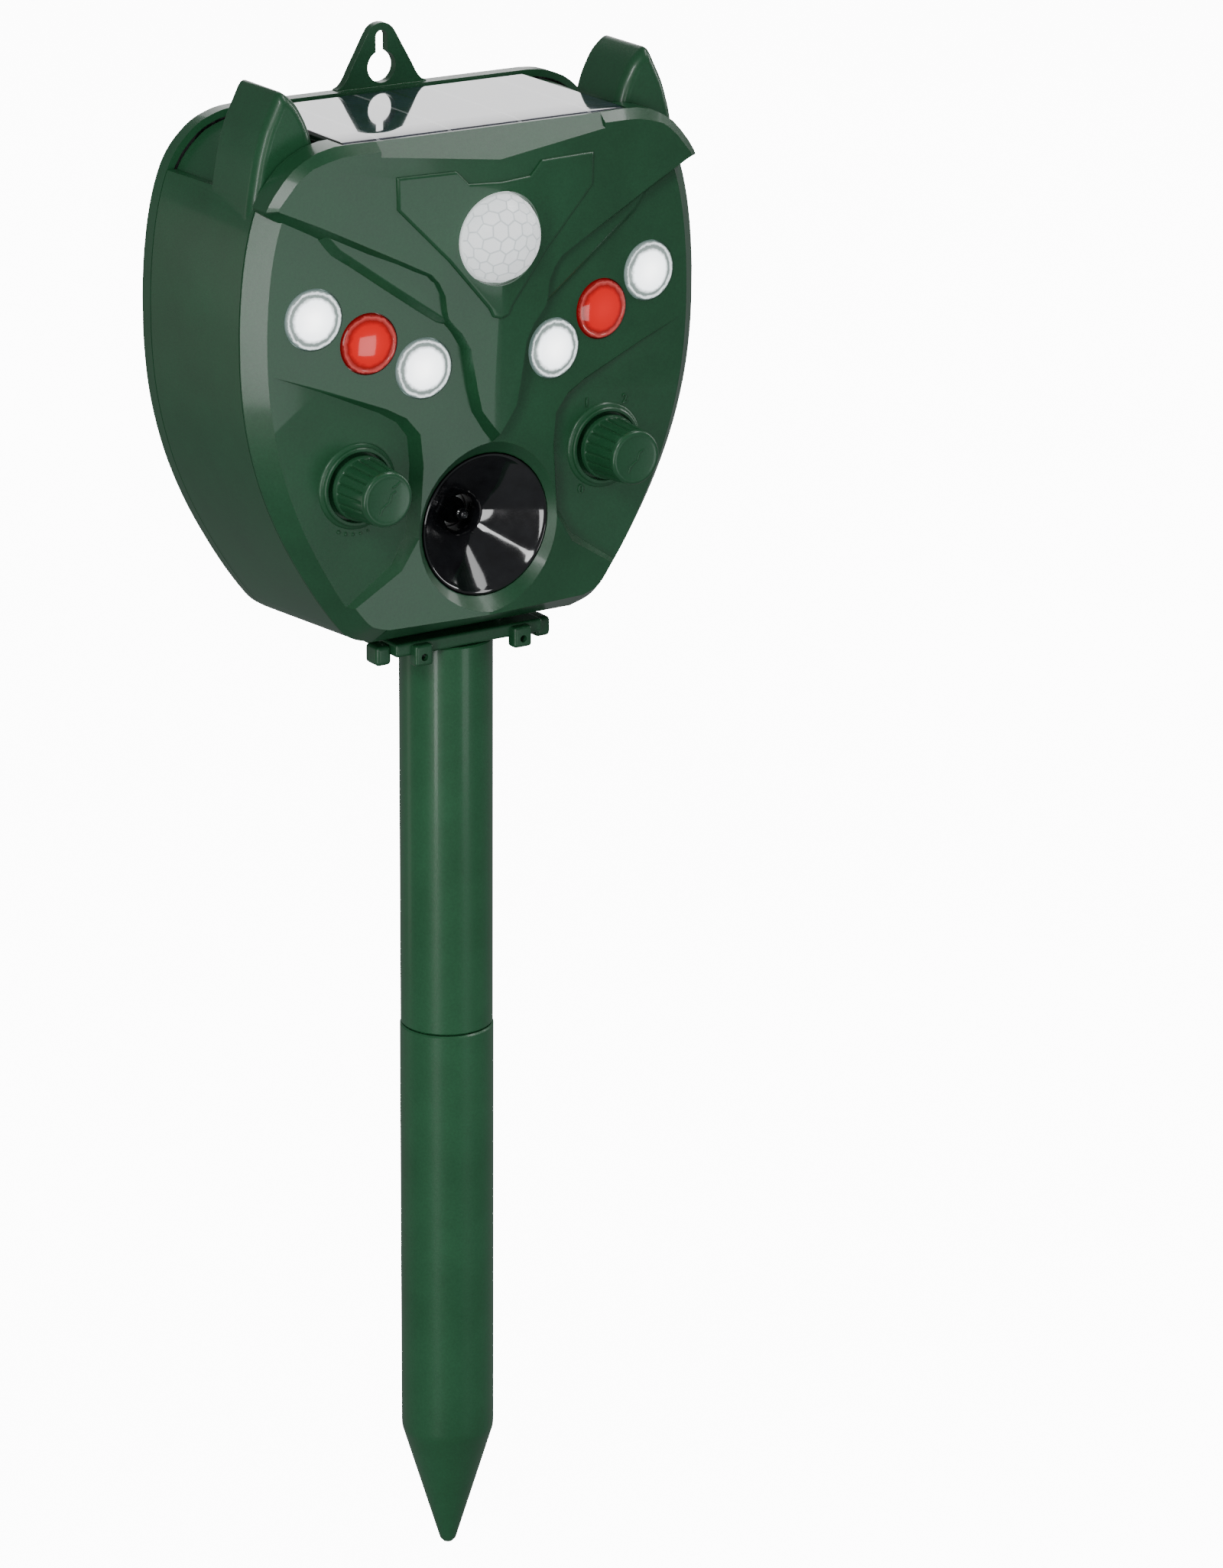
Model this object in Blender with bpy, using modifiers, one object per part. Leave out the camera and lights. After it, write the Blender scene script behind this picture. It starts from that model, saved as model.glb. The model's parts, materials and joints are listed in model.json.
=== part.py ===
"""Solar ultrasonic pest repeller on a two-piece ground stake.

Millimetres are used for the dimensions below and turned into metres by MM.
The front of the object faces -Y, +X is to the right of someone facing it, and
the origin is the point of the ground spike.
"""
import math

import bmesh
import bpy
from mathutils import Matrix, Vector

MM = 0.001
GAP = 0.3            # between pieces that touch

# --- Stake ---------------------------------------------------------------
TIP_RADIUS = 1.8
CONE_TOP = 33.8      # height where the spike becomes a tube
LOWER_RADIUS = 12.1
LOWER_BORE = 10.2
STAKE_SEAM = 148.9   # height of the seam between the two stake tubes
UPPER_RADIUS = 11.9
UPPER_BORE = 9.9
SPIGOT_LENGTH = 24.0
UPPER_TOP = 252.6

# --- Head outline, half of it, from the top centre to the bottom centre ---
HEAD_TOP = 387.0
HEAD_MIDDLE = 321.0  # height the draft of the side walls is measured from
SHOULDER = [(41.5, HEAD_TOP), (47.5, 386.2), (54.5, 382.9), (61.2, 375.0),
            (65.4, 361.0), (67.2, 342.0), (66.4, 322.0), (62.9, 305.0),
            (57.0, 289.6), (49.0, 275.0), (41.5, 264.0), (36.5, 258.8), (30.0, 256.6)]
REAR_FACE = 32.0     # back of the rear cover
COVER_THICKNESS = 2.8
GASKET_THICKNESS = 1.0
LIP_WIDTH = 1.5      # rim of the rear cover that hides the gasket
HOUSING_REAR = REAR_FACE - COVER_THICKNESS - GASKET_THICKNESS - 2 * GAP
HOUSING_FRONT = -12.0
FRONT_DRAFT = 0.968  # front of the side walls against their rear
WALL = 2.4
CORNER_RECESS = 1.6  # the shoulders are this much lower than the rear rim
RECESS_LINE = 373.4

# --- Front cover -----------------------------------------------------------
RIDGE_Y = -21.8      # centre crease of the face
FACE_SLOPE = 0.08    # how fast the face falls back on each side
EDGE_BEVEL = 4.2
PANEL_Y = -17.2      # flat round pads that the knobs stand on
PAD_RADIUS = 14.0
COLLAR_RADIUS = 10.0
COLLAR_HEIGHT = 1.4
BROW_RIDGE_Y = -25.6
BROW_SLOPE = 0.083
BROW = [(38.0, 386.1), (43.0, 385.9), (47.5, 384.9), (51.2, 383.1), (54.0, 381.3), (56.3, 379.0),
        (58.9, 375.9), (60.7, 373.2), (61.2, 371.8), (58.5, 369.8), (44.2, 362.6), (20.6, 352.0),
        (17.0, 349.8), (15.2, 346.5), (14.8, 341.5), (12.6, 338.4), (9.3, 334.4), (8.3, 330.5),
        (6.0, 317.2)]
BEAK_TIP = (0.7, 308.0)
BROW_TOP = 386.1
CREST = (-20.5, 385.8)   # edge where the brow's top starts to fall forward (y, z)
CREST_SLOPE = 1.4
CREST_HALF = 32.0

# --- What sits in the face ---------------------------------------------------
LAMP_X = (18.7, 33.4, 48.1)
LAMP_Z = (328.6, 336.4, 344.0)
LAMP_NAMES = ("inner", "middle", "outer")
LENS_RADIUS = 7.4
LENS_FLANGE = 8.3
LENS_PROUD = 1.2
PIR_Z = 359.6
PIR_RADIUS = 11.3
PIR_PROUD = 9.6
SPEAKER_Z = 286.0
SPEAKER_RADIUS = 17.4
SPEAKER_RIM_Y = -18.8
KNOB_X = 35.8
KNOB_Z = 300.8
KNOB_BACK = -19.0
KNOB_FRONT = -32.3
KNOB_REAR_RADIUS = 8.0
KNOB_FRONT_RADIUS = 6.55
SHAFT_RADIUS = 3.0

# --- Ears ----------------------------------------------------------------------
EAR_FRONT = -11.6
EAR_REAR = 8.3
EAR = [(61.6, 370.0), (61.0, 376.2), (59.4, 384.5), (56.6, 391.0), (53.6, 395.6), (52.2, 396.7), (50.6, 396.2),
       (47.0, 392.7), (44.2, 388.0), (43.0, 383.0), (43.0, 374.0)]

# --- Solar panel ------------------------------------------------------------------
PANEL_HALF = 40.2
PANEL_REAR = 27.4
PANEL_FRONT = -19.2
PANEL_TOP = 386.5
PANEL_THICKNESS = 2.4

# --- Hanging tab ---------------------------------------------------------------------
TAB_APEX = 402.9
TAB_BASE_HALF = 12.9
TAB_THICKNESS = 2.4
KEYHOLE_Z = 391.9
KEYHOLE_RADIUS = 4.05
KEYHOLE_SLOT = 1.7
KEYHOLE_TOP = 400.9

# --- Fasteners and the charging socket -------------------------------------------------
SCREW_PLACES = ((-60.3, 347.0), (60.3, 347.0), (-43.6, 275.5), (43.6, 275.5))
SCREW_HEAD = 2.9
SCREW_SHANK = 1.3
BOSS_RADIUS = 3.8
BOSS_FRONT = 8.0
BRACKET_SCREW_X = 17.0
SOCKET_X = -24.0
SOCKET_Z = 272.0
POCKET_DEPTH = 2.0   # the rubber flap lies flush in a pocket of the rear cover

STEPS = 32           # sides of the larger turned pieces

GREEN = (0.022, 0.082, 0.040)
BLACK = (0.006, 0.006, 0.007)
CLEAR = (0.80, 0.85, 0.88)
RED = (0.70, 0.02, 0.02)
WHITE = (0.78, 0.80, 0.80)
STEEL = (0.45, 0.45, 0.46)
BOARD = (0.015, 0.09, 0.03)


# =============================== helpers =====================================
def clear_scene():
    for old in list(bpy.data.objects):
        bpy.data.objects.remove(old)


def new_collection(name):
    made = bpy.data.collections.new(name)
    bpy.context.scene.collection.children.link(made)
    return made


def material(name, color, roughness, metallic=0.0):
    made = bpy.data.materials.new(name)
    made.use_nodes = True
    shader = made.node_tree.nodes["Principled BSDF"]
    shader.inputs["Base Color"].default_value = (*color, 1.0)
    shader.inputs["Roughness"].default_value = roughness
    shader.inputs["Metallic"].default_value = metallic
    return made


def put_in(obj, group):
    for old in list(obj.users_collection):
        old.objects.unlink(obj)
    group.objects.link(obj)


def finish(obj, name, color, roughness, metallic=0.0):
    """Name a finished part, give it its material and put it with the parts."""
    obj.name = name
    obj.data.name = name
    obj.data.materials.clear()
    obj.data.materials.append(material(name, color, roughness, metallic))
    put_in(obj, PARTS)
    obj.data.shade_smooth()
    obj.data.set_sharp_from_angle(angle=math.radians(35.0))
    return obj


def as_cutter(obj, name):
    obj.name = name
    put_in(obj, CUTTERS)
    obj.hide_render = True
    obj.display_type = 'WIRE'
    return obj


def boolean(obj, other, operation):
    step = obj.modifiers.new(other.name, 'BOOLEAN')
    step.object = other
    step.operation = operation
    step.solver = obj.get("solver", 'EXACT')


def cut(obj, *cutters):
    for cutter in cutters:
        boolean(obj, cutter, 'DIFFERENCE')


def join(obj, *others):
    for other in others:
        boolean(obj, other, 'UNION')


def edit(obj, change):
    """Run change(bm) on the object's mesh."""
    bm = bmesh.new()
    bm.from_mesh(obj.data)
    change(bm)
    bmesh.ops.recalc_face_normals(bm, faces=bm.faces)
    bm.to_mesh(obj.data)
    bm.free()
    return obj


def box(name, low, high, turn=None, pivot=None):
    """A block between two corners, optionally turned about X at a pivot (mm)."""
    size = [(b - a) * MM for a, b in zip(low, high)]
    centre = Vector([(a + b) / 2 * MM for a, b in zip(low, high)])
    bpy.ops.mesh.primitive_cube_add(size=1.0, location=(0, 0, 0))
    obj = bpy.context.object
    obj.name = name
    shape = Matrix.Translation(centre) @ Matrix.Diagonal((*size, 1.0))
    if turn is not None:
        about = Vector(pivot) * MM
        shape = Matrix.Translation(about) @ Matrix.Rotation(turn, 4, 'X') @ Matrix.Translation(-about) @ shape
    obj.data.transform(shape)
    return obj


def turned(name, profile, place, tilt=0.0, upright=False, steps=STEPS):
    """Spin a (radius, height) profile, listed from the far end down.

    The height runs towards -Y, or towards +Z when upright. tilt turns the
    axis about Z, towards +X for a positive angle.
    """
    mesh = bpy.data.meshes.new(name)
    looped = profile[0] == profile[-1]
    points = [(r * MM, 0.0, h * MM) for r, h in (profile[:-1] if looped else profile)]
    edges = [(i, i + 1) for i in range(len(points) - 1)]
    if looped:
        edges.append((len(points) - 1, 0))
    mesh.from_pydata(points, edges, [])
    obj = bpy.data.objects.new(name, mesh)
    bpy.context.scene.collection.objects.link(obj)
    screw = obj.modifiers.new("turn", 'SCREW')
    screw.steps = steps
    screw.render_steps = steps
    screw.use_merge_vertices = True
    screw.merge_threshold = 0.00001
    if not upright:
        obj.rotation_euler = (math.radians(90.0), 0.0, tilt)
    obj.location = [value * MM for value in place]
    return obj


def rod(name, radius, low, high, place, tilt=0.0, upright=False, steps=STEPS):
    """A plain round bar between two heights along the turned axis."""
    return turned(name, [(0, high), (radius, high), (radius, low), (0, low)], place, tilt, upright, steps)


def ring(name, outer, inner, low, high, place, tilt=0.0, upright=False, steps=STEPS):
    """A round tube or washer between two heights along the turned axis."""
    profile = [(inner, high), (outer, high), (outer, low), (inner, low), (inner, high)]
    return turned(name, profile, place, tilt, upright, steps)


def smooth(points, steps=3):
    """A Catmull-Rom curve through the points, ends kept."""
    padded = [points[0]] + list(points) + [points[-1]]
    line = []
    for a, b, c, d in zip(padded, padded[1:], padded[2:], padded[3:]):
        for i in range(steps):
            t = i / steps
            line.append(tuple(0.5 * ((2 * q) + (r - p) * t + (2 * p - 5 * q + 4 * r - s) * t * t
                                     + (3 * q - p - 3 * r + s) * t ** 3)
                              for p, q, r, s in zip(a, b, c, d)))
    line.append(points[-1])
    return line


def mirrored(half):
    """A closed outline from its right half, listed from the top down."""
    left = [(-x, z) for x, z in reversed(half) if abs(x) > 0.01]
    return list(half) + left


def inset(points, distance):
    """Move a closed clockwise outline inwards by a distance."""
    moved = []
    for before, here, after in zip(points[-1:] + points[:-1], points, points[1:] + points[:1]):
        along = Vector((after[0] - before[0], after[1] - before[1])).normalized()
        moved.append((here[0] + along.y * distance, here[1] - along.x * distance))
    return moved


def plate(name, points, front, rear):
    """A flat outline in the XZ plane with its thickness along Y, as a mesh."""
    curve = bpy.data.curves.new(name, 'CURVE')
    curve.dimensions = '2D'
    curve.fill_mode = 'BOTH'
    spline = curve.splines.new('POLY')
    spline.points.add(len(points) - 1)
    for point, (x, z) in zip(spline.points, points):
        point.co = (x * MM, z * MM, 0.0, 1.0)
    spline.use_cyclic_u = True
    curve.extrude = (rear - front) / 2 * MM
    flat = bpy.data.objects.new(name, curve)
    bpy.context.scene.collection.objects.link(flat)
    flat.rotation_euler = (math.radians(90.0), 0.0, 0.0)
    flat.location = (0.0, (rear + front) / 2 * MM, 0.0)
    bpy.context.view_layer.update()
    mesh = bpy.data.meshes.new_from_object(flat.evaluated_get(bpy.context.evaluated_depsgraph_get()))
    mesh.transform(flat.matrix_world)
    bpy.data.objects.remove(flat)
    obj = bpy.data.objects.new(name, mesh)
    bpy.context.scene.collection.objects.link(obj)

    def weld(bm):
        bmesh.ops.remove_doubles(bm, verts=bm.verts, dist=0.00001)
        bmesh.ops.dissolve_limit(bm, angle_limit=0.001, verts=bm.verts, edges=bm.edges)
    return edit(obj, weld)


def head_outline(distance=0.0):
    return inset(mirrored(smooth(SHOULDER)), distance)


def drafted(obj):
    """Narrow the head outline towards the front, as a moulding's draft."""
    def squeeze(bm):
        for vertex in bm.verts:
            share = (HOUSING_REAR * MM - vertex.co.y) / ((HOUSING_REAR - HOUSING_FRONT) * MM)
            factor = 1.0 - (1.0 - FRONT_DRAFT) * min(share, 1.0)
            vertex.co.x *= factor
            vertex.co.z = HEAD_MIDDLE * MM + (vertex.co.z - HEAD_MIDDLE * MM) * factor
    return edit(obj, squeeze)


def slice_off(obj, point, normal):
    """Remove everything on the normal's side of a plane and close the cut."""
    def slicing(bm):
        result = bmesh.ops.bisect_plane(bm, geom=bm.verts[:] + bm.edges[:] + bm.faces[:], dist=1e-7,
                                        plane_co=Vector(point) * MM, plane_no=normal, clear_outer=True)
        rim = [item for item in result["geom_cut"] if isinstance(item, bmesh.types.BMEdge)]
        bmesh.ops.contextual_create(bm, geom=rim)
    return edit(obj, slicing)


def fold_front(obj, ridge, slope):
    """Give the front of a plate its shallow V: a centre ridge with two slopes."""
    for side in (1.0, -1.0):
        slice_off(obj, (0.0, ridge, 0.0), (side * slope, -1.0, 0.0))
    return obj


def bevel_front(obj, width, segments=1):
    """Chamfer the edge between the front faces and the side walls."""
    def bevelling(bm):
        fronts = {face for face in bm.faces if face.normal.y < -0.9}
        rim = [edge for edge in bm.edges
               if len(edge.link_faces) == 2 and len(fronts.intersection(edge.link_faces)) == 1]
        bmesh.ops.bevel(bm, geom=rim, offset=width * MM, segments=segments, affect='EDGES', profile=0.5,
                        clamp_overlap=False)
        bmesh.ops.remove_doubles(bm, verts=bm.verts, dist=0.00001)
    return edit(obj, bevelling)


def face_y(x):
    return RIDGE_Y + FACE_SLOPE * abs(x)


def sides():
    return (("left", -1.0), ("right", 1.0))


# =============================== stake =======================================
def stake_lower():
    profile = [(0, CONE_TOP + 2.0), (LOWER_BORE, CONE_TOP + 14.0), (LOWER_BORE, STAKE_SEAM - GAP),
               (LOWER_RADIUS, STAKE_SEAM - GAP), (LOWER_RADIUS, CONE_TOP + 2.0), (LOWER_RADIUS - 0.3, CONE_TOP),
               (TIP_RADIUS + 0.5, 2.2), (TIP_RADIUS, 0.6), (TIP_RADIUS * 0.5, 0.0), (0, 0.0)]
    return finish(turned("stake", profile, (0, 0, 0), upright=True), "stake_lower", GREEN, 0.42)


def stake_upper():
    spigot = LOWER_BORE - GAP
    foot = STAKE_SEAM - SPIGOT_LENGTH
    profile = [(UPPER_BORE, UPPER_TOP), (UPPER_RADIUS, UPPER_TOP), (UPPER_RADIUS, STAKE_SEAM), (spigot, STAKE_SEAM),
               (spigot, foot + 1.5), (spigot - 1.0, foot), (UPPER_BORE - 2.0, foot), (UPPER_BORE - 2.0, STAKE_SEAM),
               (UPPER_BORE, STAKE_SEAM + 3.0), (UPPER_BORE, UPPER_TOP)]
    return finish(turned("stake", profile, (0, 0, 0), upright=True), "stake_upper", GREEN, 0.42)


def stake_bracket():
    """Flange under the head, its corner lugs, and the plug that enters the stake."""
    top = 256.6 - GAP
    flange_bottom = UPPER_TOP + GAP
    plug = UPPER_BORE - GAP
    part = box("flange", (-21.5, -11.5, flange_bottom), (21.5, 15.0, top))
    profile = [(0, top - 1.0), (plug, top - 1.0), (plug, UPPER_TOP - SPIGOT_LENGTH + 1.5),
               (plug - 1.5, UPPER_TOP - SPIGOT_LENGTH), (0, UPPER_TOP - SPIGOT_LENGTH)]
    join(part, as_cutter(turned("bracket_plug", profile, (0, 0, 0), upright=True), "bracket_plug"))
    for name, side in sides():
        lug = box("lug", (14.5 * side - 2.6, -13.6, flange_bottom - 2.6), (14.5 * side + 2.6, -10.0, top - 0.5))
        hook = box("hook", (23.4 * side - 2.2, -9.0, flange_bottom - 2.4), (23.4 * side + 2.2, -3.0, top - 0.7))
        eye = rod("eye", 0.9, -20.0, 20.0, (14.5 * side, 0.0, flange_bottom - 0.8), steps=12)
        hole = rod("hole", 1.7, flange_bottom - 5.0, top + 5.0, (BRACKET_SCREW_X * side, 2.0, 0.0), upright=True,
                   steps=16)
        join(part, as_cutter(lug, "bracket_lug_" + name), as_cutter(hook, "bracket_hook_" + name))
        cut(part, as_cutter(eye, "lug_eye_" + name), as_cutter(hole, "bracket_hole_" + name))
    return finish(part, "stake_bracket", GREEN, 0.42)


def bracket_screws():
    for name, side in sides():
        under = UPPER_TOP + GAP
        profile = [(0, under + 11.0), (SCREW_SHANK, under + 11.0), (SCREW_SHANK, under - GAP),
                   (SCREW_HEAD, under - GAP), (SCREW_HEAD, under - 1.6), (1.4, under - 1.6), (1.4, under - 0.9),
                   (0, under - 0.9)]
        screw = turned("screw", profile, (BRACKET_SCREW_X * side, 2.0, 0.0), upright=True, steps=12)
        finish(screw, "bracket_screw_" + name, STEEL, 0.35, 1.0)


# =============================== head shells ====================================
def ear_solid(side):
    outline = [(x * side, z) for x, z in (EAR if side > 0 else reversed(EAR))]
    return bevel_front(plate("ear", outline, EAR_FRONT, EAR_REAR), 1.8)


def main_housing():
    """Side walls, ears, screw bosses and the tray for the solar panel."""
    lower = drafted(plate("housing", head_outline(), HOUSING_FRONT + GAP, HOUSING_REAR))
    shoulders = drafted(plate("shoulders", head_outline(CORNER_RECESS), HOUSING_FRONT - 20.0, HOUSING_REAR + 20.0))
    above = box("above", (-90.0, HOUSING_FRONT - 9.0, RECESS_LINE), (90.0, HOUSING_REAR + 9.0, 420.0))
    cut(above, as_cutter(shoulders, "housing_shoulders"))
    cut(lower, as_cutter(above, "shoulder_recess"))
    for name, side in sides():
        join(lower, as_cutter(ear_solid(side), "ear_" + name))
    inner = drafted(plate("inner", head_outline(WALL + CORNER_RECESS / 2), HOUSING_FRONT - 5.0, HOUSING_REAR + 5.0))
    slice_off(inner, (0.0, 0.0, PANEL_TOP - 7.0), (0.0, 0.0, 1.0))
    cut(lower, as_cutter(inner, "housing_inner"))
    cut(lower, as_cutter(panel_tray(), "panel_tray"))
    slot = box("slot", (-9.0, 4.0, 360.0), (9.0, 12.0, 400.0))
    cut(lower, as_cutter(slot, "panel_wire_slot"))
    for index, (x, z) in enumerate(SCREW_PLACES, 1):
        boss = rod("boss", BOSS_RADIUS, -HOUSING_REAR + 0.5, -BOSS_FRONT, (x, 0.0, z), steps=16)
        join(lower, as_cutter(boss, "screw_boss_%d" % index))
        bore = rod("bore", SCREW_SHANK + GAP, -HOUSING_REAR - 3.0, -BOSS_FRONT - 3.0, (x, 0.0, z), steps=12)
        cut(lower, as_cutter(bore, "screw_bore_%d" % index))
    for name, side in sides():
        bore = rod("bore", SCREW_SHANK + GAP, 250.0, 262.0, (BRACKET_SCREW_X * side, 2.0, 0.0), upright=True, steps=12)
        cut(lower, as_cutter(bore, "floor_bore_" + name))
    return finish(lower, "main_housing", GREEN, 0.42)


def rear_cover():
    """Flat back plate with the keyhole tab it hangs from."""
    front = REAR_FACE - COVER_THICKNESS
    part = plate("cover", head_outline(), front, REAR_FACE)
    half = [(0.0, TAB_APEX), (2.2, TAB_APEX - 0.6), (3.8, TAB_APEX - 2.0), (9.0, 391.6), (10.4, 389.2),
            (TAB_BASE_HALF, HEAD_TOP + 0.2), (TAB_BASE_HALF, HEAD_TOP - 4.0), (0.0, HEAD_TOP - 4.0)]
    tab = plate("tab", mirrored(half), REAR_FACE - TAB_THICKNESS, REAR_FACE)
    join(part, as_cutter(tab, "hanging_tab"))
    lip = plate("lip", head_outline(), HOUSING_REAR + GAP, front + 0.5)
    cut(lip, as_cutter(plate("lip_hole", head_outline(LIP_WIDTH), HOUSING_REAR - 5.0, front + 5.0), "lip_opening"))
    join(part, as_cutter(lip, "cover_lip"))
    eye = rod("eye", KEYHOLE_RADIUS, -REAR_FACE - 5.0, -front + 5.0, (0.0, 0.0, KEYHOLE_Z), steps=24)
    slot = box("slot", (-KEYHOLE_SLOT, front - 5.0, KEYHOLE_Z), (KEYHOLE_SLOT, REAR_FACE + 5.0, KEYHOLE_TOP))
    cut(part, as_cutter(eye, "keyhole"), as_cutter(slot, "keyhole_slot"))
    for index, (x, z) in enumerate(SCREW_PLACES, 1):
        profile = [(0, -front + 3.0), (SCREW_SHANK + GAP, -front + 3.0), (SCREW_SHANK + GAP, -REAR_FACE + 1.6),
                   (SCREW_HEAD + GAP, -REAR_FACE + 1.6), (SCREW_HEAD + GAP, -REAR_FACE - 2.0), (0, -REAR_FACE - 2.0)]
        cut(part, as_cutter(turned("sink", profile, (x, 0.0, z), steps=16), "cover_bore_%d" % index))
    window = box("window", (SOCKET_X - 5.4, front - 3.0, SOCKET_Z - 3.0),
                 (SOCKET_X + 5.4, REAR_FACE + 3.0, SOCKET_Z + 3.0))
    pocket = box("pocket", (SOCKET_X - 7.2, REAR_FACE - POCKET_DEPTH, SOCKET_Z - 6.8),
                 (SOCKET_X + 7.2, REAR_FACE + 3.0, SOCKET_Z + 10.4))
    peg = rod("peg", 1.3, -REAR_FACE - 3.0, -front + 3.0, (SOCKET_X, 0.0, SOCKET_Z + 8.2), steps=12)
    cut(part, as_cutter(pocket, "flap_pocket"), as_cutter(window, "socket_window"),
        as_cutter(peg, "cover_peg_hole"))
    return finish(part, "rear_cover", GREEN, 0.42)


def rear_screws():
    for index, (x, z) in enumerate(SCREW_PLACES, 1):
        head_top = -REAR_FACE + 0.2
        seat = -REAR_FACE + 1.6 - GAP
        profile = [(0, -BOSS_FRONT - 5.0), (SCREW_SHANK, -BOSS_FRONT - 5.0), (SCREW_SHANK, seat), (SCREW_HEAD, seat),
                   (SCREW_HEAD, head_top), (1.3, head_top), (1.3, head_top + 0.7), (0, head_top + 0.7)]
        screw = turned("screw", profile, (x, 0.0, z), steps=12)
        finish(screw, "rear_screw_%d" % index, STEEL, 0.35, 1.0)


def rear_gasket():
    rear = REAR_FACE - COVER_THICKNESS - GAP
    part = plate("gasket", head_outline(LIP_WIDTH + GAP), rear - GASKET_THICKNESS, rear)
    hole = plate("hole", head_outline(WALL + 0.7), rear - 5.0, rear + 5.0)
    cut(part, as_cutter(hole, "gasket_opening"))
    return finish(part, "rear_gasket", BLACK, 0.8)


def panel_tray():
    """Room for the solar panel, shared by the housing and the front cover."""
    return box("tray", (-PANEL_HALF - GAP, PANEL_FRONT - GAP, PANEL_TOP - PANEL_THICKNESS - GAP),
               (PANEL_HALF + GAP, PANEL_REAR + GAP, PANEL_TOP + 15.0))


def solar_panel():
    part = box("panel", (-PANEL_HALF, PANEL_FRONT, PANEL_TOP - PANEL_THICKNESS), (PANEL_HALF, PANEL_REAR, PANEL_TOP))
    rounding = part.modifiers.new("corners", 'BEVEL')
    rounding.width = 0.8 * MM
    rounding.segments = 2
    return finish(part, "solar_panel", (0.010, 0.012, 0.022), 0.06)


def brow_solid():
    half = [(0.0, BROW_TOP)] + BROW + [BEAK_TIP]
    part = plate("brow", mirrored(half), -30.0, HOUSING_FRONT - 0.4)
    fold_front(part, BROW_RIDGE_Y, BROW_SLOPE)
    return part


def front_cover():
    """Folded face plate with its raised brow, and the openings in it."""
    part = plate("face", drafted_outline(0.0), -30.0, HOUSING_FRONT)
    part["solver"] = 'MANIFOLD'
    bevel_front(fold_front(part, RIDGE_Y, FACE_SLOPE), EDGE_BEVEL)
    slice_off(part, (0.0, 0.0, 384.0), (0.0, 0.0, 1.0))
    brow = as_cutter(brow_solid(), "brow")
    crest = box("crest", (-CREST_HALF, -60.0, CREST[1]), (CREST_HALF, HOUSING_FRONT + 5.0, 420.0),
                math.atan(CREST_SLOPE), (0.0, *CREST))
    join(part, brow)
    cut(part, as_cutter(crest, "crest_slope"), as_cutter(panel_tray(), "cover_panel_tray"))
    inner = plate("inner", drafted_outline(2.2), -30.0, HOUSING_FRONT + 5.0)
    bevel_front(fold_front(inner, RIDGE_Y + 2.3, FACE_SLOPE), EDGE_BEVEL)
    slice_off(inner, (0.0, 0.0, 378.0), (0.0, 0.0, 1.0))
    cut(part, as_cutter(inner, "face_inner"))
    hole = rod("hole", PIR_RADIUS + GAP, 0.0, 60.0, (0.0, 0.0, PIR_Z))
    cut(part, as_cutter(hole, "pir_hole"))
    rim = -SPEAKER_RIM_Y
    profile = [(0, rim + 20.0), (SPEAKER_RADIUS + 1.4 + 18.0, rim + 20.0), (SPEAKER_RADIUS + 0.8, rim + 0.8),
               (SPEAKER_RADIUS + 0.8, rim - 20.0), (0, rim - 20.0)]
    cut(part, as_cutter(turned("hole", profile, (0.0, 0.0, SPEAKER_Z)), "speaker_hole"))
    for name, side in sides():
        centre = (KNOB_X * side, 0.0, KNOB_Z)
        pad = rod("pad", PAD_RADIUS, -PANEL_Y, 60.0, centre)
        cut(part, as_cutter(pad, "knob_pad_" + name))
        boss = rod("boss", PAD_RADIUS - 1.5, -PANEL_Y - 2.3, -PANEL_Y - 0.2, centre)
        join(part, as_cutter(boss, "knob_boss_" + name))
        well = [(0, -PANEL_Y + 30.0), (KNOB_REAR_RADIUS + 0.7, -PANEL_Y + 30.0), (KNOB_REAR_RADIUS + 0.7, -PANEL_Y),
                (SHAFT_RADIUS + GAP, -PANEL_Y), (SHAFT_RADIUS + GAP, 0.0), (0, 0.0)]
        collar = rod("collar", COLLAR_RADIUS, -PANEL_Y - 1.0, -PANEL_Y + COLLAR_HEIGHT, centre)
        join(part, as_cutter(collar, "knob_collar_" + name))
        cut(part, as_cutter(turned("well", well, centre), "shaft_bore_" + name))
        for x, z, lamp in zip(LAMP_X, LAMP_Z, LAMP_NAMES):
            place = (x * side, face_y(x), z)
            hole = rod("hole", LENS_RADIUS + GAP, -10.0, 20.0, place, lamp_tilt(side), steps=24)
            cut(part, as_cutter(hole, "lamp_hole_%s_%s" % (name, lamp)))
    return finish(part, "front_cover", GREEN, 0.42)


def drafted_outline(distance):
    """The head outline at the front end of the drafted walls."""
    return [(x * FRONT_DRAFT, HEAD_MIDDLE + (z - HEAD_MIDDLE) * FRONT_DRAFT) for x, z in head_outline(distance)]


def lamp_tilt(side):
    return math.atan(FACE_SLOPE) * side


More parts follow.
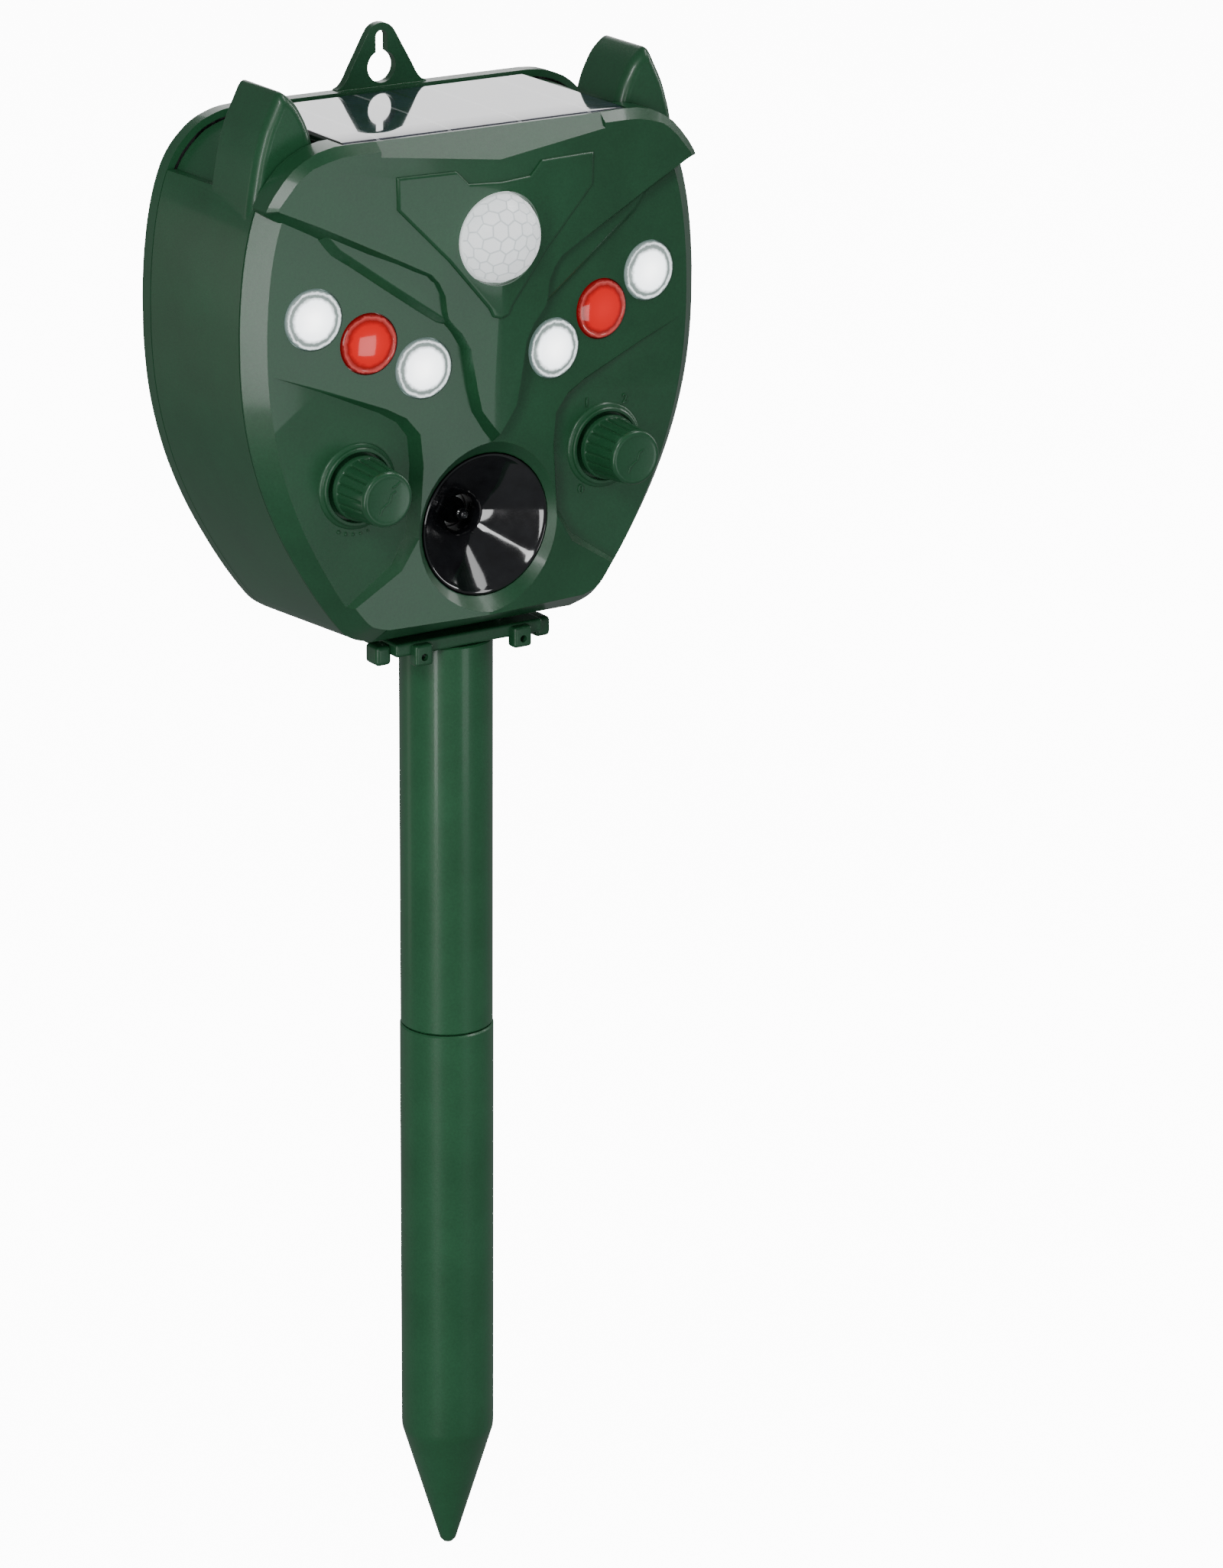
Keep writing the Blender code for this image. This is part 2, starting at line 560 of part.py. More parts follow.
# =============================== face pieces ====================================
def lamps():
    """Clear lenses, the diodes behind them and the two boards that carry them."""
    for name, side in sides():
        for x, z, lamp in zip(LAMP_X, LAMP_Z, LAMP_NAMES):
            place = (x * side, face_y(x), z)
            tilt = lamp_tilt(side)
            back = -2.2 - GAP
            profile = [(0, LENS_PROUD), (4.4, LENS_PROUD - 0.3), (LENS_RADIUS, 0.0), (LENS_RADIUS, back),
                       (LENS_FLANGE, back), (LENS_FLANGE, back - 1.0), (6.6, back - 1.0), (6.2, -2.0), (0, -2.6)]
            lens = turned("lens", profile, place, tilt, steps=20)
            color = RED if lamp == "middle" else CLEAR
            finish(lens, "lamp_lens_%s_%s" % (name, lamp), color, 0.05)
            profile = [(0, -3.2), (1.6, -3.7), (2.5, -5.6), (2.5, -8.4), (2.9, -8.4), (2.9, -9.4), (0, -9.4)]
            diode = turned("diode", profile, place, tilt, steps=12)
            finish(diode, "lamp_diode_%s_%s" % (name, lamp), color, 0.15)
        middle_x = LAMP_X[1]
        length = 52.0
        lean = math.atan2(LAMP_Z[2] - LAMP_Z[0], LAMP_X[2] - LAMP_X[0])
        part = box("board", (-length / 2, 9.4 + GAP, -8.5), (length / 2, 9.4 + GAP + 1.6, 8.5))
        turn = Matrix.Rotation(lamp_tilt(side), 4, 'Z') @ Matrix.Rotation(-lean * side, 4, 'Y')
        part.data.transform(turn)
        part.location = (middle_x * side * MM, face_y(middle_x) * MM, LAMP_Z[1] * MM)
        finish(part, "lamp_board_" + name, BOARD, 0.5)


def motion_sensor():
    """Domed lens in the brow, and the detector can on its small board."""
    base = 20.2
    outer = [(0, base + 13.0)]
    for i in range(1, 6):
        angle = math.radians(90.0 - i * 18.0)
        outer.append((PIR_RADIUS * math.cos(angle), base + 3.4 + PIR_PROUD * math.sin(angle)))
    outer += [(PIR_RADIUS, base - 2.0), (PIR_RADIUS + 2.0, base - 2.0), (PIR_RADIUS + 2.0, base - 3.2),
              (PIR_RADIUS - 1.0, base - 3.2)]
    inner = [(0, base + 12.0)]
    for i in range(1, 6):
        angle = math.radians(90.0 - i * 18.0)
        inner.append(((PIR_RADIUS - 1.0) * math.cos(angle), base + 3.4 + (PIR_PROUD - 1.0) * math.sin(angle)))
    dome = turned("dome", outer + list(reversed(inner)), (0.0, 0.0, PIR_Z), steps=24)
    finish(dome, "pir_lens", WHITE, 0.3)
    can = [(0, 14.6), (4.0, 14.6), (4.1, 14.4), (4.1, 10.6), (4.6, 10.6), (4.6, 10.0), (0, 10.0)]
    finish(turned("can", can, (0.0, 0.0, PIR_Z), steps=20), "pir_sensor", STEEL, 0.3, 1.0)
    part = box("board", (-13.0, -10.0 + GAP, PIR_Z - 11.0), (13.0, -10.0 + GAP + 1.6, PIR_Z + 11.0))
    finish(part, "pir_board", BOARD, 0.5)


def speaker():
    """Flared black horn, the driver behind it and the plug on its axis."""
    rim = -SPEAKER_RIM_Y
    profile = [(SPEAKER_RADIUS, rim), (SPEAKER_RADIUS + 0.5, rim), (SPEAKER_RADIUS + 0.5, rim - 2.6),
               (9.0, rim - 13.4), (6.2, rim - 15.6), (6.2, rim - 16.6), (4.6, rim - 16.6), (4.6, rim - 14.6),
               (8.0, rim - 12.2), (SPEAKER_RADIUS, rim)]
    finish(turned("horn", profile, (0.0, 0.0, SPEAKER_Z)), "speaker_horn", BLACK, 0.08)
    back = rim - 16.6 - GAP
    profile = [(0, rim - 9.4), (0.9, rim - 9.7), (1.5, rim - 10.6), (1.5, rim - 13.0), (3.4, rim - 15.4),
               (3.4, back), (0, back)]
    finish(turned("plug", profile, (0.0, 0.0, SPEAKER_Z), steps=20), "speaker_plug", BLACK, 0.08)
    profile = [(0, back - GAP), (15.0, back - GAP), (15.0, back - 4.5), (11.0, back - 4.5), (11.0, back - 11.0),
               (0, back - 11.0)]
    finish(turned("driver", profile, (0.0, 0.0, SPEAKER_Z)), "speaker_driver", STEEL, 0.4, 1.0)


def knobs():
    """Fluted knobs on their shafts, with the seals and the controls behind."""
    for name, side in sides():
        centre = (KNOB_X * side, 0.0, KNOB_Z)
        length = KNOB_BACK - KNOB_FRONT
        flutes = 16
        bpy.ops.mesh.primitive_cone_add(vertices=flutes * 3, radius1=KNOB_REAR_RADIUS * MM,
                                        radius2=KNOB_FRONT_RADIUS * MM, depth=length * MM, location=(0, 0, 0))
        knob = bpy.context.object

        def flute(bm):
            for vertex in bm.verts:
                angle = math.atan2(vertex.co.y, vertex.co.x) % (2 * math.pi)
                if round(angle / (2 * math.pi / (flutes * 3))) % 3 == 0 and vertex.co.z < 0:
                    vertex.co.x *= 0.93
                    vertex.co.y *= 0.93
        edit(knob, flute)
        knob.rotation_euler = (math.radians(90.0), 0.0, 0.0)
        knob.location = (KNOB_X * side * MM, (KNOB_BACK + KNOB_FRONT) / 2 * MM, KNOB_Z * MM)
        bore = rod("bore", SHAFT_RADIUS + GAP, -KNOB_BACK - 5.0, -KNOB_FRONT - 3.6, centre, steps=20)
        cut(knob, as_cutter(bore, "knob_bore_" + name))
        finish(knob, "%s_knob" % name, GREEN, 0.42)
        shaft = [(0, -KNOB_FRONT - 4.2), (SHAFT_RADIUS - 0.5, -KNOB_FRONT - 4.2), (SHAFT_RADIUS, -KNOB_FRONT - 4.8),
                 (SHAFT_RADIUS, 13.2), (0, 13.2)]
        finish(turned("shaft", shaft, centre, steps=20), "%s_shaft" % name, STEEL, 0.3, 1.0)
        low = -PANEL_Y + GAP
        seal = ring("seal", 5.4, SHAFT_RADIUS + GAP, low, low + 1.2, centre, steps=20)
        finish(seal, "%s_shaft_seal" % name, BLACK, 0.8)
        control = box("control", (KNOB_X * side - 6.5, -13.2 + GAP, KNOB_Z - 6.5),
                      (KNOB_X * side + 6.5, -4.0, KNOB_Z + 6.5))
        finish(control, "%s_control" % name, BLACK, 0.5)


# =============================== inside ==========================================
def electronics():
    board = box("board", (-45.0, -4.0 + GAP, 279.0), (45.0, -2.1, 316.0))
    cut(board, as_cutter(rod("hole", 18.5, -10.0, 20.0, (0.0, 0.0, SPEAKER_Z)), "board_hole"))
    finish(board, "main_board", BOARD, 0.5)
    bpy.ops.mesh.primitive_cylinder_add(vertices=24, radius=9.1 * MM, depth=65.0 * MM,
                                        location=(0.0, 14.0 * MM, 334.0 * MM), rotation=(0.0, math.radians(90.0), 0.0))
    finish(bpy.context.object, "battery_cell", (0.05, 0.16, 0.42), 0.35)
    holder = box("holder", (-37.0, 2.0, 322.6), (37.0, 26.0, 337.0))
    bpy.ops.mesh.primitive_cylinder_add(vertices=24, radius=9.5 * MM, depth=66.0 * MM,
                                        location=(0.0, 14.0 * MM, 334.0 * MM), rotation=(0.0, math.radians(90.0), 0.0))
    well = bpy.context.object
    mouth = box("mouth", (-33.0, 4.5, 334.0), (33.0, 23.5, 345.0))
    cut(holder, as_cutter(well, "cell_well"), as_cutter(mouth, "cell_mouth"))
    finish(holder, "battery_holder", BLACK, 0.5)
    inner = REAR_FACE - COVER_THICKNESS - GAP
    shell = box("socket", (SOCKET_X - 4.0, inner - 5.6, SOCKET_Z - 1.5), (SOCKET_X + 4.0, inner, SOCKET_Z + 1.5))
    mouth = box("mouth", (SOCKET_X - 3.5, inner - 4.6, SOCKET_Z - 1.0), (SOCKET_X + 3.5, inner + 5.0, SOCKET_Z + 1.0))
    cut(shell, as_cutter(mouth, "socket_mouth"))
    finish(shell, "charging_socket", STEEL, 0.3, 1.0)
    board = box("board", (SOCKET_X - 8.0, inner - 9.0, SOCKET_Z - 3.4), (SOCKET_X + 8.0, inner - 0.8, SOCKET_Z - 1.8))
    finish(board, "socket_board", BOARD, 0.5)


def socket_cover():
    """Rubber flap over the charging socket, hinged on its upper edge."""
    inside = REAR_FACE - POCKET_DEPTH + GAP
    outside = inside + 1.5
    hinge_z = SOCKET_Z + 5.2
    part = box("flap", (SOCKET_X - 6.6, inside, SOCKET_Z - 5.0), (SOCKET_X + 6.6, outside, hinge_z - GAP))
    plug = box("plug", (SOCKET_X - 4.6, inside - 1.2, SOCKET_Z - 2.2), (SOCKET_X + 4.6, inside + 0.5, SOCKET_Z + 2.2))
    lip = box("lip", (SOCKET_X - 1.8, inside + 0.4, SOCKET_Z - 6.2), (SOCKET_X + 1.8, outside, SOCKET_Z - 4.0))
    join(part, as_cutter(plug, "flap_plug"), as_cutter(lip, "flap_lip"))
    hinge = Vector((SOCKET_X, (inside + outside) / 2, hinge_z)) * MM
    for piece in (part, plug, lip):
        piece.data.transform(Matrix.Translation(-hinge))
        piece.location = hinge
    finish(part, "socket_cover", BLACK, 0.7)
    strap = box("strap", (SOCKET_X - 3.4, inside, hinge_z + 1.4), (SOCKET_X + 3.4, outside, hinge_z + 4.8))
    peg = rod("peg", 1.0, -inside - 0.5, -inside + 3.4, (SOCKET_X, 0.0, SOCKET_Z + 8.2), steps=12)
    join(strap, as_cutter(peg, "strap_peg"))
    finish(strap, "socket_cover_strap", BLACK, 0.7)


clear_scene()
PARTS = new_collection("ultrasonic_pest_repeller")
CUTTERS = new_collection("cutters")
stake_lower()
stake_upper()
stake_bracket()
bracket_screws()
main_housing()
rear_cover()
rear_screws()
rear_gasket()
solar_panel()
front_cover()
lamps()
motion_sensor()
speaker()
knobs()
electronics()
socket_cover()
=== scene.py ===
import json
import math

import bmesh
import bpy
from mathutils import Matrix, Vector


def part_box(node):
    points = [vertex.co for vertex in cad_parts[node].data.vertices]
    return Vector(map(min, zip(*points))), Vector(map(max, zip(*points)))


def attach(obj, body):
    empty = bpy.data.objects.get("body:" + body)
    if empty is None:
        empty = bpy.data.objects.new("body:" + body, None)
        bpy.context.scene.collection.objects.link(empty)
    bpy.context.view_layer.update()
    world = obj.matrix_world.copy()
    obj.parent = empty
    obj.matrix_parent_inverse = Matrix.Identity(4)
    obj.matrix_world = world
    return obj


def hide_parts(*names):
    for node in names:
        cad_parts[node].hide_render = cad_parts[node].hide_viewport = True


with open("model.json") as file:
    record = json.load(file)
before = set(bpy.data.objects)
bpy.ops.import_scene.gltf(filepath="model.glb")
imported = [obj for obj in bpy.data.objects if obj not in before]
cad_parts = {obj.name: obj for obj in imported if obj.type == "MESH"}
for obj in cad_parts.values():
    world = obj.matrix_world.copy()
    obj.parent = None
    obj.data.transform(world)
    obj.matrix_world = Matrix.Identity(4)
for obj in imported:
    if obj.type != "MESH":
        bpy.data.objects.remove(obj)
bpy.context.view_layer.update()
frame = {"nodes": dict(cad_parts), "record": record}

MM = 0.001
MERGE = 0.000002           # points closer than this (m) are one
FINE_MERGE = 0.0000005     # the same on small turned shapes

# --- head outline: right half from the top centre to the bottom centre (mm) ---
HALF_WIDTH = 67.2
SHOULDER = [(41.5, 387.0), (47.5, 386.2), (54.5, 382.9), (61.2, 375.0), (65.4, 361.0), (HALF_WIDTH, 342.0),
            (66.4, 322.0), (62.9, 305.0), (57.0, 289.6), (49.0, 275.0), (41.5, 264.0), (36.5, 258.8),
            (30.0, 256.6)]
HEAD_TOP = 387.0
HEAD_BOTTOM = 256.6
HEAD_MIDDLE = 321.0
FRONT_DRAFT = 0.968        # how much smaller the head is at its front edge
HOUSING_FRONT = -12.0
HOUSING_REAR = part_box("main_housing")[1].y / MM
REAR_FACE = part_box("rear_cover")[1].y / MM
COVER_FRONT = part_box("rear_cover")[0].y / MM
SHOULDER_LINE = 373.4
SHOULDER_STEP = 1.5
STEP_DRAFT = 0.953
WALL = 3.2
GAP = 0.3
LIP_WIDTH = 1.5

# --- the face: each level is a pair of planes folded on the centre line --------
FACE = (-21.8, 0.08)       # y at the centre, and how fast it falls back
LEDGE = (-23.7, 0.083)
BROW = (-25.6, 0.083)
MASK = (-26.3, 0.083)
DIAL_FLOOR = -17.1
CREST = (-20.5, 386.0)

# --- what sits in the face ---------------------------------------------------------
SPEAKER_Z = 286.0
HORN_RADIUS = 17.4
HORN_RIM = -18.8
PIR_Z = 359.6
PIR_RADIUS = 11.3
DOME_BASE = 23.6           # how far forward the smooth dome starts
DOME_SIZE = (10.9, 9.0)    # radius and height of the smooth dome
FACET_SIZE = (11.2, 9.42)  # the same for the cap of facets round it
FACET_START = 2.2          # where that cap starts, above the base
LAMP_X = (18.7, 33.4, 48.1)
LAMP_Z = (328.6, 336.4, 344.0)
LAMP_NAMES = ("inner", "middle", "outer")
LENS_RADIUS = 7.4
LAMP_HOLE = 7.7
KNOB_X = 35.8
KNOB_Z = 300.8
KNOB_BASE = 19.0
KNOB_TOP = 12.85
LINE_RADIUS = 0.26         # of the raised pointer on a knob
DIAL_WELL = 8.75
EYE_Z = 391.9              # the keyhole in the hanging tab
BRACKET_SCREW = (17.0, 2.0)
FLOOR_GLOW = 13.0
SIDES = (("left", -1.0), ("right", 1.0))


# ======== shaping helpers ========
def only(piece):
    """Select this piece and nothing else."""
    bpy.ops.object.select_all(action='DESELECT')
    piece.select_set(True)
    bpy.context.view_layer.objects.active = piece


class Editing:
    """Edit mode on one piece, starting with nothing selected."""

    def __init__(self, piece):
        self.piece = piece

    def __enter__(self):
        only(self.piece)
        bpy.ops.object.mode_set(mode='EDIT')
        bpy.ops.mesh.select_mode(type='VERT')
        bpy.ops.mesh.select_all(action='DESELECT')
        return self

    def __exit__(self, *_):
        bpy.ops.object.mode_set(mode='OBJECT')

    def mesh(self):
        return bmesh.from_edit_mesh(self.piece.data)

    def pick(self, kind, test):
        """Select the faces or the edges that pass a test, and only those."""
        mode = {"faces": 'FACE', "edges": 'EDGE'}[kind]
        bpy.ops.mesh.select_mode(type=mode)
        bpy.ops.mesh.select_all(action='DESELECT')
        bm = self.mesh()
        for item in getattr(bm, kind):
            if test(item):
                item.select_set(True)
        bm.select_flush_mode()
        bmesh.update_edit_mesh(self.piece.data)

    def tidy(self, distance=MERGE):
        """Merge doubles and turn the faces outwards."""
        bpy.ops.mesh.select_mode(type='VERT')
        bpy.ops.mesh.select_all(action='SELECT')
        bpy.ops.mesh.remove_doubles(threshold=distance)
        bpy.ops.mesh.normals_make_consistent(inside=False)


def filled_ring(name, ring):
    """A closed ring of (x, y, z) points in mm, filled."""
    bpy.ops.object.select_all(action='DESELECT')
    bpy.ops.mesh.primitive_circle_add(vertices=len(ring), fill_type='NGON')
    piece = bpy.context.object
    piece.name = name
    piece.data.name = name
    for vertex, point in zip(piece.data.vertices, ring):
        vertex.co = Vector(point) * MM
    return piece


def loft(name, rings):
    """Extrude a filled ring through further rings that have as many points."""
    piece = filled_ring(name, rings[0])
    with Editing(piece) as work:
        bpy.ops.mesh.select_all(action='SELECT')
        for before, ring in zip(rings, rings[1:]):
            bpy.ops.mesh.extrude_region_move()
            places = [Vector(point) * MM for point in before]
            for vertex in [v for v in work.mesh().verts if v.select]:
                nearest = min(range(len(places)), key=lambda i: (places[i] - vertex.co).length_squared)
                vertex.co = Vector(ring[nearest]) * MM
            bmesh.update_edit_mesh(piece.data)
        work.tidy()
    return piece


def mirror_half(piece):
    """Complete a right half that ends on the centre plane."""
    with Editing(piece) as work:
        work.pick("faces", lambda face: all(abs(v.co.x) < 1e-6 for v in face.verts))
        bpy.ops.mesh.delete(type='ONLY_FACE')
    step = piece.modifiers.new("other half", 'MIRROR')
    step.use_clip = True
    step.merge_threshold = 0.000005
    apply(piece, step)
    with Editing(piece) as work:
        work.tidy()
    return piece


def apply(piece, step):
    only(piece)
    bpy.ops.object.modifier_apply(modifier=step.name)


def combine(piece, other, operation):
    step = piece.modifiers.new(other.name, 'BOOLEAN')
    step.object = other
    step.operation = operation
    step.solver = 'EXACT'
    apply(piece, step)
    bpy.data.objects.remove(other)
    return piece


def cut(piece, *others):
    for other in others:
        combine(piece, other, 'DIFFERENCE')
    return piece


def join(piece, *others):
    for other in others:
        combine(piece, other, 'UNION')
    return piece


def round_edges(piece, width, segments=3, angle=28.0, test=None):
    """Round the sharp edges, or those of them that pass a test."""
    limit = math.cos(math.radians(angle))

    def sharp(edge):
        if len(edge.link_faces) != 2 or edge.link_faces[0].normal.dot(edge.link_faces[1].normal) > limit:
            return False
        return test is None or test(edge)

    with Editing(piece) as work:
        work.pick("edges", sharp)
        bpy.ops.mesh.bevel(offset=width * MM, segments=segments, affect='EDGES', clamp_overlap=True,
                           miter_outer='SHARP')
        work.tidy()
    return piece


def shade(piece, angle=33.0):
    only(piece)
    bpy.ops.object.shade_smooth_by_angle(angle=math.radians(angle), keep_sharp_edges=True)
    step = piece.modifiers.new("even shading", 'WEIGHTED_NORMAL')
    step.keep_sharp = True
    step.weight = 80
    apply(piece, step)
    return piece


def ready(piece, name, body, finish, slot, *nodes):
    """Shade a finished piece, give it its finish and put it on its body."""
    piece.name = name
    piece.data.name = name
    shade(piece)
    piece.data.materials.clear()
    piece.data.materials.append(finish)
    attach(piece, body)
    if nodes:
        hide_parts(*nodes)
    return piece


def on_face(x, z=0.0, tilt=0.0):
    """Matrix that turns a shape spun about +Z to face -Y at (x, face, z)."""
    place = Matrix.Translation(Vector((x, FACE[0] + FACE[1] * abs(x), z)) * MM)
    return place @ Matrix.Rotation(tilt, 4, 'Z') @ Matrix.Rotation(math.radians(90.0), 4, 'X')


def facing_front(x, z):
    """Matrix that turns heights along +Z into distances towards -Y."""
    return Matrix.Translation(Vector((x, 0.0, z)) * MM) @ Matrix.Rotation(math.radians(90.0), 4, 'X')


def spun(name, profile, place=None, steps=72):
    """Spin a (radius, height) profile about Z, then put it in its place.

    A profile that starts and ends on the axis makes a solid; any other is a
    closed section and makes a ring.
    """
    bpy.ops.object.select_all(action='DESELECT')
    bpy.ops.mesh.primitive_circle_add(vertices=len(profile), fill_type='NOTHING')
    piece = bpy.context.object
    piece.name = name
    for vertex, (radius, height) in zip(piece.data.vertices, profile):
        vertex.co = Vector((radius, 0.0, height)) * MM
    with Editing(piece) as work:
        if profile[0][0] == 0 and profile[-1][0] == 0:
            work.pick("edges", lambda edge: all(abs(v.co.x) < 1e-9 for v in edge.verts))
            bpy.ops.mesh.delete(type='EDGE')
        bpy.ops.mesh.select_mode(type='VERT')
        bpy.ops.mesh.select_all(action='SELECT')
        bpy.ops.mesh.spin(steps=steps, angle=2 * math.pi, center=(0, 0, 0), axis=(0, 0, 1),
                          use_auto_merge=True)
        work.tidy(FINE_MERGE)
    if place is not None:
        piece.data.transform(place)
    return piece


def rod(name, radius, low, high, place, steps):
    """A plain cutter: a cylinder between two heights."""
    return spun(name, [(0, low), (radius, low), (radius, high), (0, high)], place, steps)


def block(name, low, high, edge=0.0, segments=2):
    """A box between two corners in mm, with its edges rounded."""
    bpy.ops.object.select_all(action='DESELECT')
    bpy.ops.mesh.primitive_cube_add(size=1.0)
    piece = bpy.context.object
    piece.name = name
    size = [(b - a) * MM for a, b in zip(low, high)]
    middle = [(a + b) / 2 * MM for a, b in zip(low, high)]
    piece.data.transform(Matrix.Translation(middle) @ Matrix.Diagonal((*size, 1.0)))
    return round_edges(piece, edge, segments) if edge else piece


# ======== outlines ========
def smooth(points, steps=5):
    """A Catmull-Rom curve through the points, ends kept."""
    padded = [points[0]] + list(points) + [points[-1]]
    line = []
    for a, b, c, d in zip(padded, padded[1:], padded[2:], padded[3:]):
        for i in range(steps):
            t = i / steps
            line.append(tuple(0.5 * ((2 * q) + (r - p) * t + (2 * p - 5 * q + 4 * r - s) * t * t
                                     + (3 * q - p - 3 * r + s) * t ** 3)
                              for p, q, r, s in zip(a, b, c, d)))
    line.append(points[-1])
    return line


def rounded(points, radius, steps):
    """Round each corner of a closed outline."""
    count = len(points)
    line = []
    for i, here in enumerate(points):
        here = Vector(here)
        before = Vector(points[i - 1]) - here
        after = Vector(points[(i + 1) % count]) - here
        reach = min(radius, before.length * 0.45, after.length * 0.45)
        start = here + before.normalized() * reach
        end = here + after.normalized() * reach
        for k in range(steps + 1):
            t = k / steps
            line.append(tuple(start * (1 - t) ** 2 + here * 2 * t * (1 - t) + end * t * t))
    return line


def half_outline(distance=0.0, draft=1.0):
    """Right half of the head, drawn in by a distance."""
    half = [(0.0, HEAD_TOP)] + smooth(SHOULDER) + [(0.0, HEAD_BOTTOM)]
    moved = []
    for i, (x, z) in enumerate(half):
        before = half[i - 1] if i else (-1.0, HEAD_TOP)
        after = half[i + 1] if i + 1 < len(half) else (-1.0, HEAD_BOTTOM)
        along = Vector((after[0] - before[0], after[1] - before[1])).normalized()
        moved.append((x + along.y * distance if i and i + 1 < len(half) else 0.0, z - along.x * distance))
    return [(min(x, HALF_WIDTH) * draft, HEAD_MIDDLE + (z - HEAD_MIDDLE) * draft) for x, z in moved]


def both_sides(half):
    return list(half) + [(-x, z) for x, z in reversed(half) if x > 0.01]


def offset(points, distance):
    """Move a closed outline outwards by a distance, with mitred corners."""
    area = sum(a[0] * b[1] - b[0] * a[1] for a, b in zip(points, points[1:] + points[:1]))
    turn = 1.0 if area > 0 else -1.0
    moved = []
    for before, here, after in zip(points[-1:] + points[:-1], points, points[1:] + points[:1]):
        first = Vector((here[0] - before[0], here[1] - before[1])).normalized()
        second = Vector((after[0] - here[0], after[1] - here[1])).normalized()
        normal = Vector((first.y + second.y, -first.x - second.x)) * turn
        length = max(normal.length_squared / 2.0, 0.35)
        moved.append((here[0] + normal.x * distance / length, here[1] + normal.y * distance / length))
    return moved


def at(outline, depth):
    """Lift (x, z) points to (x, y, z). The depth is a number or a folded level."""
    if isinstance(depth, tuple):
        return [(x, depth[0] + depth[1] * abs(x), z) for x, z in outline]
    return [(x, depth, z) for x, z in outline]


def lower(level, distance):
    return (level[0] + distance, level[1])


# ======== finishes ========
class Value:
    """A number socket that can be added, multiplied and so on."""

    def __init__(self, finish, socket):
        self.finish = finish
        self.socket = socket

    def _with(self, operation, first, second):
        return self.finish.number('ShaderNodeMath', {"operation": operation}, {0: first, 1: second})

    def __add__(self, other):
        return self._with('ADD', self, other)

    def __radd__(self, other):
        return self._with('ADD', other, self)

    def __sub__(self, other):
        return self._with('SUBTRACT', self, other)

    def __rsub__(self, other):
        return self._with('SUBTRACT', other, self)

    def __mul__(self, other):
        return self._with('MULTIPLY', self, other)

    def __rmul__(self, other):
        return self._with('MULTIPLY', other, self)

    def __gt__(self, other):
        return self._with('GREATER_THAN', self, other)

    def __lt__(self, other):
        return self._with('LESS_THAN', self, other)


class Finish:
    """A material, its Principled shader and the nodes that feed it."""

    def __init__(self, name, **constants):
        self.material = bpy.data.materials.new(name)
        self.material.use_nodes = True
        self.tree = self.material.node_tree
        self.shader = self.tree.nodes["Principled BSDF"]
        for socket, value in constants.items():
            self.shader.inputs[socket.replace("_", " ")].default_value = value

    def node(self, kind, settings=None, inputs=None):
        made = self.tree.nodes.new(kind)
        for name, value in (settings or {}).items():
            if name == "stops":
                ramp = made.color_ramp
                while len(ramp.elements) < len(value):
                    ramp.elements.new(0.5)
                for element, (place, color) in zip(ramp.elements, value):
                    element.position = place
                    element.color = color
            else:
                setattr(made, name, value)
        for name, value in (inputs or {}).items():
            self.connect(made.inputs[name], value)
        return made

    def connect(self, target, value):
        if isinstance(value, Value):
            value = value.socket
        if isinstance(value, bpy.types.NodeSocket):
            self.tree.links.new(value, target)
        else:
            target.default_value = value

    def number(self, kind, settings=None, inputs=None):
        return Value(self, self.node(kind, settings, inputs).outputs[0])

    def place(self):
        return self.node('ShaderNodeTexCoord').outputs["Object"]

    def noise(self, scale, detail=2.0, roughness=0.5, stretch=None):
        where = self.place()
        if stretch:
            where = self.node('ShaderNodeMapping', None, {"Vector": where, "Scale": stretch}).outputs[0]
        made = self.node('ShaderNodeTexNoise', None, {"Vector": where, "Scale": scale, "Detail": detail,
                                                      "Roughness": roughness})
        return Value(self, made.outputs["Fac"])

    def ramp(self, value, *stops):
        return self.node('ShaderNodeValToRGB', {"stops": stops}, {"Fac": value}).outputs[0]

    def blend(self, factor, first, second, kind='MIX'):
        made = self.node('ShaderNodeMix', {"data_type": 'RGBA', "blend_type": kind})
        self.connect(made.inputs[0], factor)
        self.connect(made.inputs[6], first)
        self.connect(made.inputs[7], second)
        return made.outputs[2]

    def bump(self, height, strength, distance):
        inputs = {"Height": height, "Strength": strength, "Distance": distance}
        return self.node('ShaderNodeBump', None, inputs).outputs[0]

    def feed(self, **inputs):
        for name, value in inputs.items():
            self.connect(self.shader.inputs[name.replace("_", " ")], value)
        return self.material


def rgb(red, green, blue):
    return (red, green, blue, 1.0)


def moulded_green(name, tone=1.0, roughness=0.36, grain=0.15, streaks=0.0):
    """Injection-moulded green plastic with a fine grain and slight mottling."""
    finish = Finish(name, IOR=1.5, Coat_Roughness=0.10)
    cloud = finish.noise(38.0, 4.0, 0.6)
    fine = finish.noise(1600.0, 3.0, 0.7)
    pores = finish.noise(5200.0, 2.0, 0.6)
    dark = rgb(0.013 * tone, 0.080 * tone, 0.031 * tone)
    light = rgb(0.018 * tone, 0.104 * tone, 0.042 * tone)
    color = finish.ramp(cloud, (0.32, dark), (0.68, light))
    speck = finish.ramp(fine, (0.35, rgb(0.82, 0.82, 0.82)), (0.65, rgb(1.0, 1.0, 1.0)))
    color = finish.blend(0.8, color, speck, 'MULTIPLY')
    height = fine * 0.55 + pores * 0.45
    if streaks:
        flow = finish.noise(60.0, 3.0, 0.6, (1.0, 1.0, 0.06))
        height = height + flow * streaks
    rough = (cloud * 0.10 + fine * 0.08) + (roughness - 0.09)
    return finish.feed(Base_Color=color, Roughness=rough, Coat_Weight=0.25,
                       Normal=finish.bump(height, grain, 0.00012))


